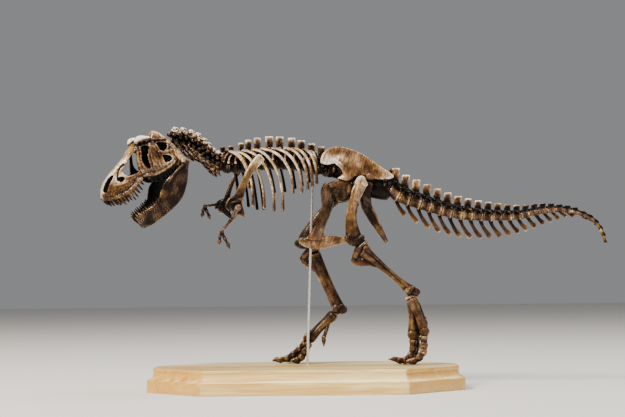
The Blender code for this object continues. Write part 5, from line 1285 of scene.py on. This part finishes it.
for word, side in (("left", 1), ("right", -1)):
    teeth = []
    for k, u in enumerate(np.linspace(43.5, 80, 12)):
        root = np.array((u, side * (cheek(u) - 1.9), skull_floor(u) - 0.4))
        tip = np.array((u - 1.9, side * (cheek(u) - 1.1), np.interp(u - 1.9, *upper_tips.T)
                        + (1.5, 0.5, 2.0)[k % 3]))
        teeth.append(tooth(root, tip, ((0.4, 0.55), (0.75, 0.35)), (1.45, 1.25, 0.9, 0.3),
                           (1.15, 0.95, 0.65, 0.24)))
    cast(f"upper_teeth_{word}", teeth, "skull", voxel=None, lump=0.0, place=skull_place,
         tone_and_painted_light=lambda p, n: np.interp(p[:, 2], (-12, -7, -1), (0.38, 0.26, 0.1)))
    teeth = []
    for k, u in enumerate(np.linspace(43, 67.5, 11)):
        root = np.array((u, side * jaw_out(u), np.interp(u, *np.array(JAW_PLATE).T[:2]) - 1.4))
        tip = np.array((u - 1.4, side * (jaw_out(u) + 0.2), np.interp(u - 1.4, *lower_tips.T)
                        + (0.4, -0.3, 0.8)[k % 3]))
        teeth.append(tooth(root, tip, ((0.45, 0.4), (0.8, 0.2)), (1.25, 1.05, 0.65, 0.26),
                           (1.0, 0.85, 0.5, 0.2)))
    cast(f"lower_teeth_{word}", teeth, "lower_jaw", voxel=None, lump=0.0, place=jaw_place,
         tone_and_painted_light=lambda p, n: np.interp(p[:, 2], (2, 6, 11), (0.14, 0.3, 0.46)))

# ------------------------------------------------------------------ studio
# A plain pale floor, one broad soft light high on the left, a wide soft one overhead, a weak cool one
# low on the right, and a pale surround.

floor_mesh = bpy.data.meshes.new("floor")
floor_mesh.from_pydata([(-6, -6, 0), (6, -6, 0), (6, 6, 0), (-6, 6, 0)], [], [(0, 1, 2, 3)])
floor = in_scene("floor", floor_mesh)
pale_floor, tree, shader = blank_material("pale_floor")
shader.inputs["Base Color"].default_value = linear("#dcdad6")
shader.inputs["Roughness"].default_value = 0.8
floor_mesh.materials.append(pale_floor)

for name, place, aim, size, power, colour in (
        ("key", (-1.2, -1.3, 1.9), (0.05, 0, 0.17), 0.9, 119, "#fff3e2"),
        ("top", (0.3, 0.1, 2.0), (0.05, 0, 0.15), 1.2, 34, "#ffffff"),
        ("fill", (1.7, -1.4, 0.7), (0.05, 0, 0.15), 1.5, 8, "#eef3ff")):
    lamp = bpy.data.lights.new(name, "AREA")
    lamp.shape, lamp.size, lamp.energy, lamp.color = "DISK", size, power, linear(colour)[:3]
    thing = in_scene(name, lamp)
    thing.location = place
    thing.rotation_mode = "QUATERNION"
    thing.rotation_quaternion = (Vector(aim) - Vector(place)).to_track_quat("-Z", "Y")
world = bpy.data.worlds.new("pale surround")
bpy.context.scene.world = world
world.use_nodes = True
world.node_tree.nodes["Background"].inputs["Color"].default_value = linear("#d9dadc")
world.node_tree.nodes["Background"].inputs["Strength"].default_value = 0.36

# ------------------------------------------------------------------ camera
# A long lens, 1.45 m away on the animal's left, 10 cm above the floor and tipped up 3 degrees.

CAMERA_PLACE = (0.0304, -1.4497, 0.103)
FILM_WIDTH, FOCAL_LENGTH = 36, 83.52
yaw, pitch, roll = math.radians(0.89), math.radians(3.05), math.radians(0.6)
ahead = Vector((-math.sin(yaw) * math.cos(pitch), math.cos(yaw) * math.cos(pitch), math.sin(pitch)))
right = ahead.cross(Vector((0, 0, 1))).normalized()
up = right.cross(ahead)
right, up = (right * math.cos(roll) - up * math.sin(roll), right * math.sin(roll) + up * math.cos(roll))
lens = bpy.data.cameras.new("camera")
lens.sensor_width, lens.lens, lens.clip_start = FILM_WIDTH, FOCAL_LENGTH, 0.01
camera = in_scene("camera", lens)
camera.matrix_world = Matrix.Translation(CAMERA_PLACE) @ Matrix((right, up, -ahead)).transposed().to_4x4()
bpy.context.scene.camera = camera
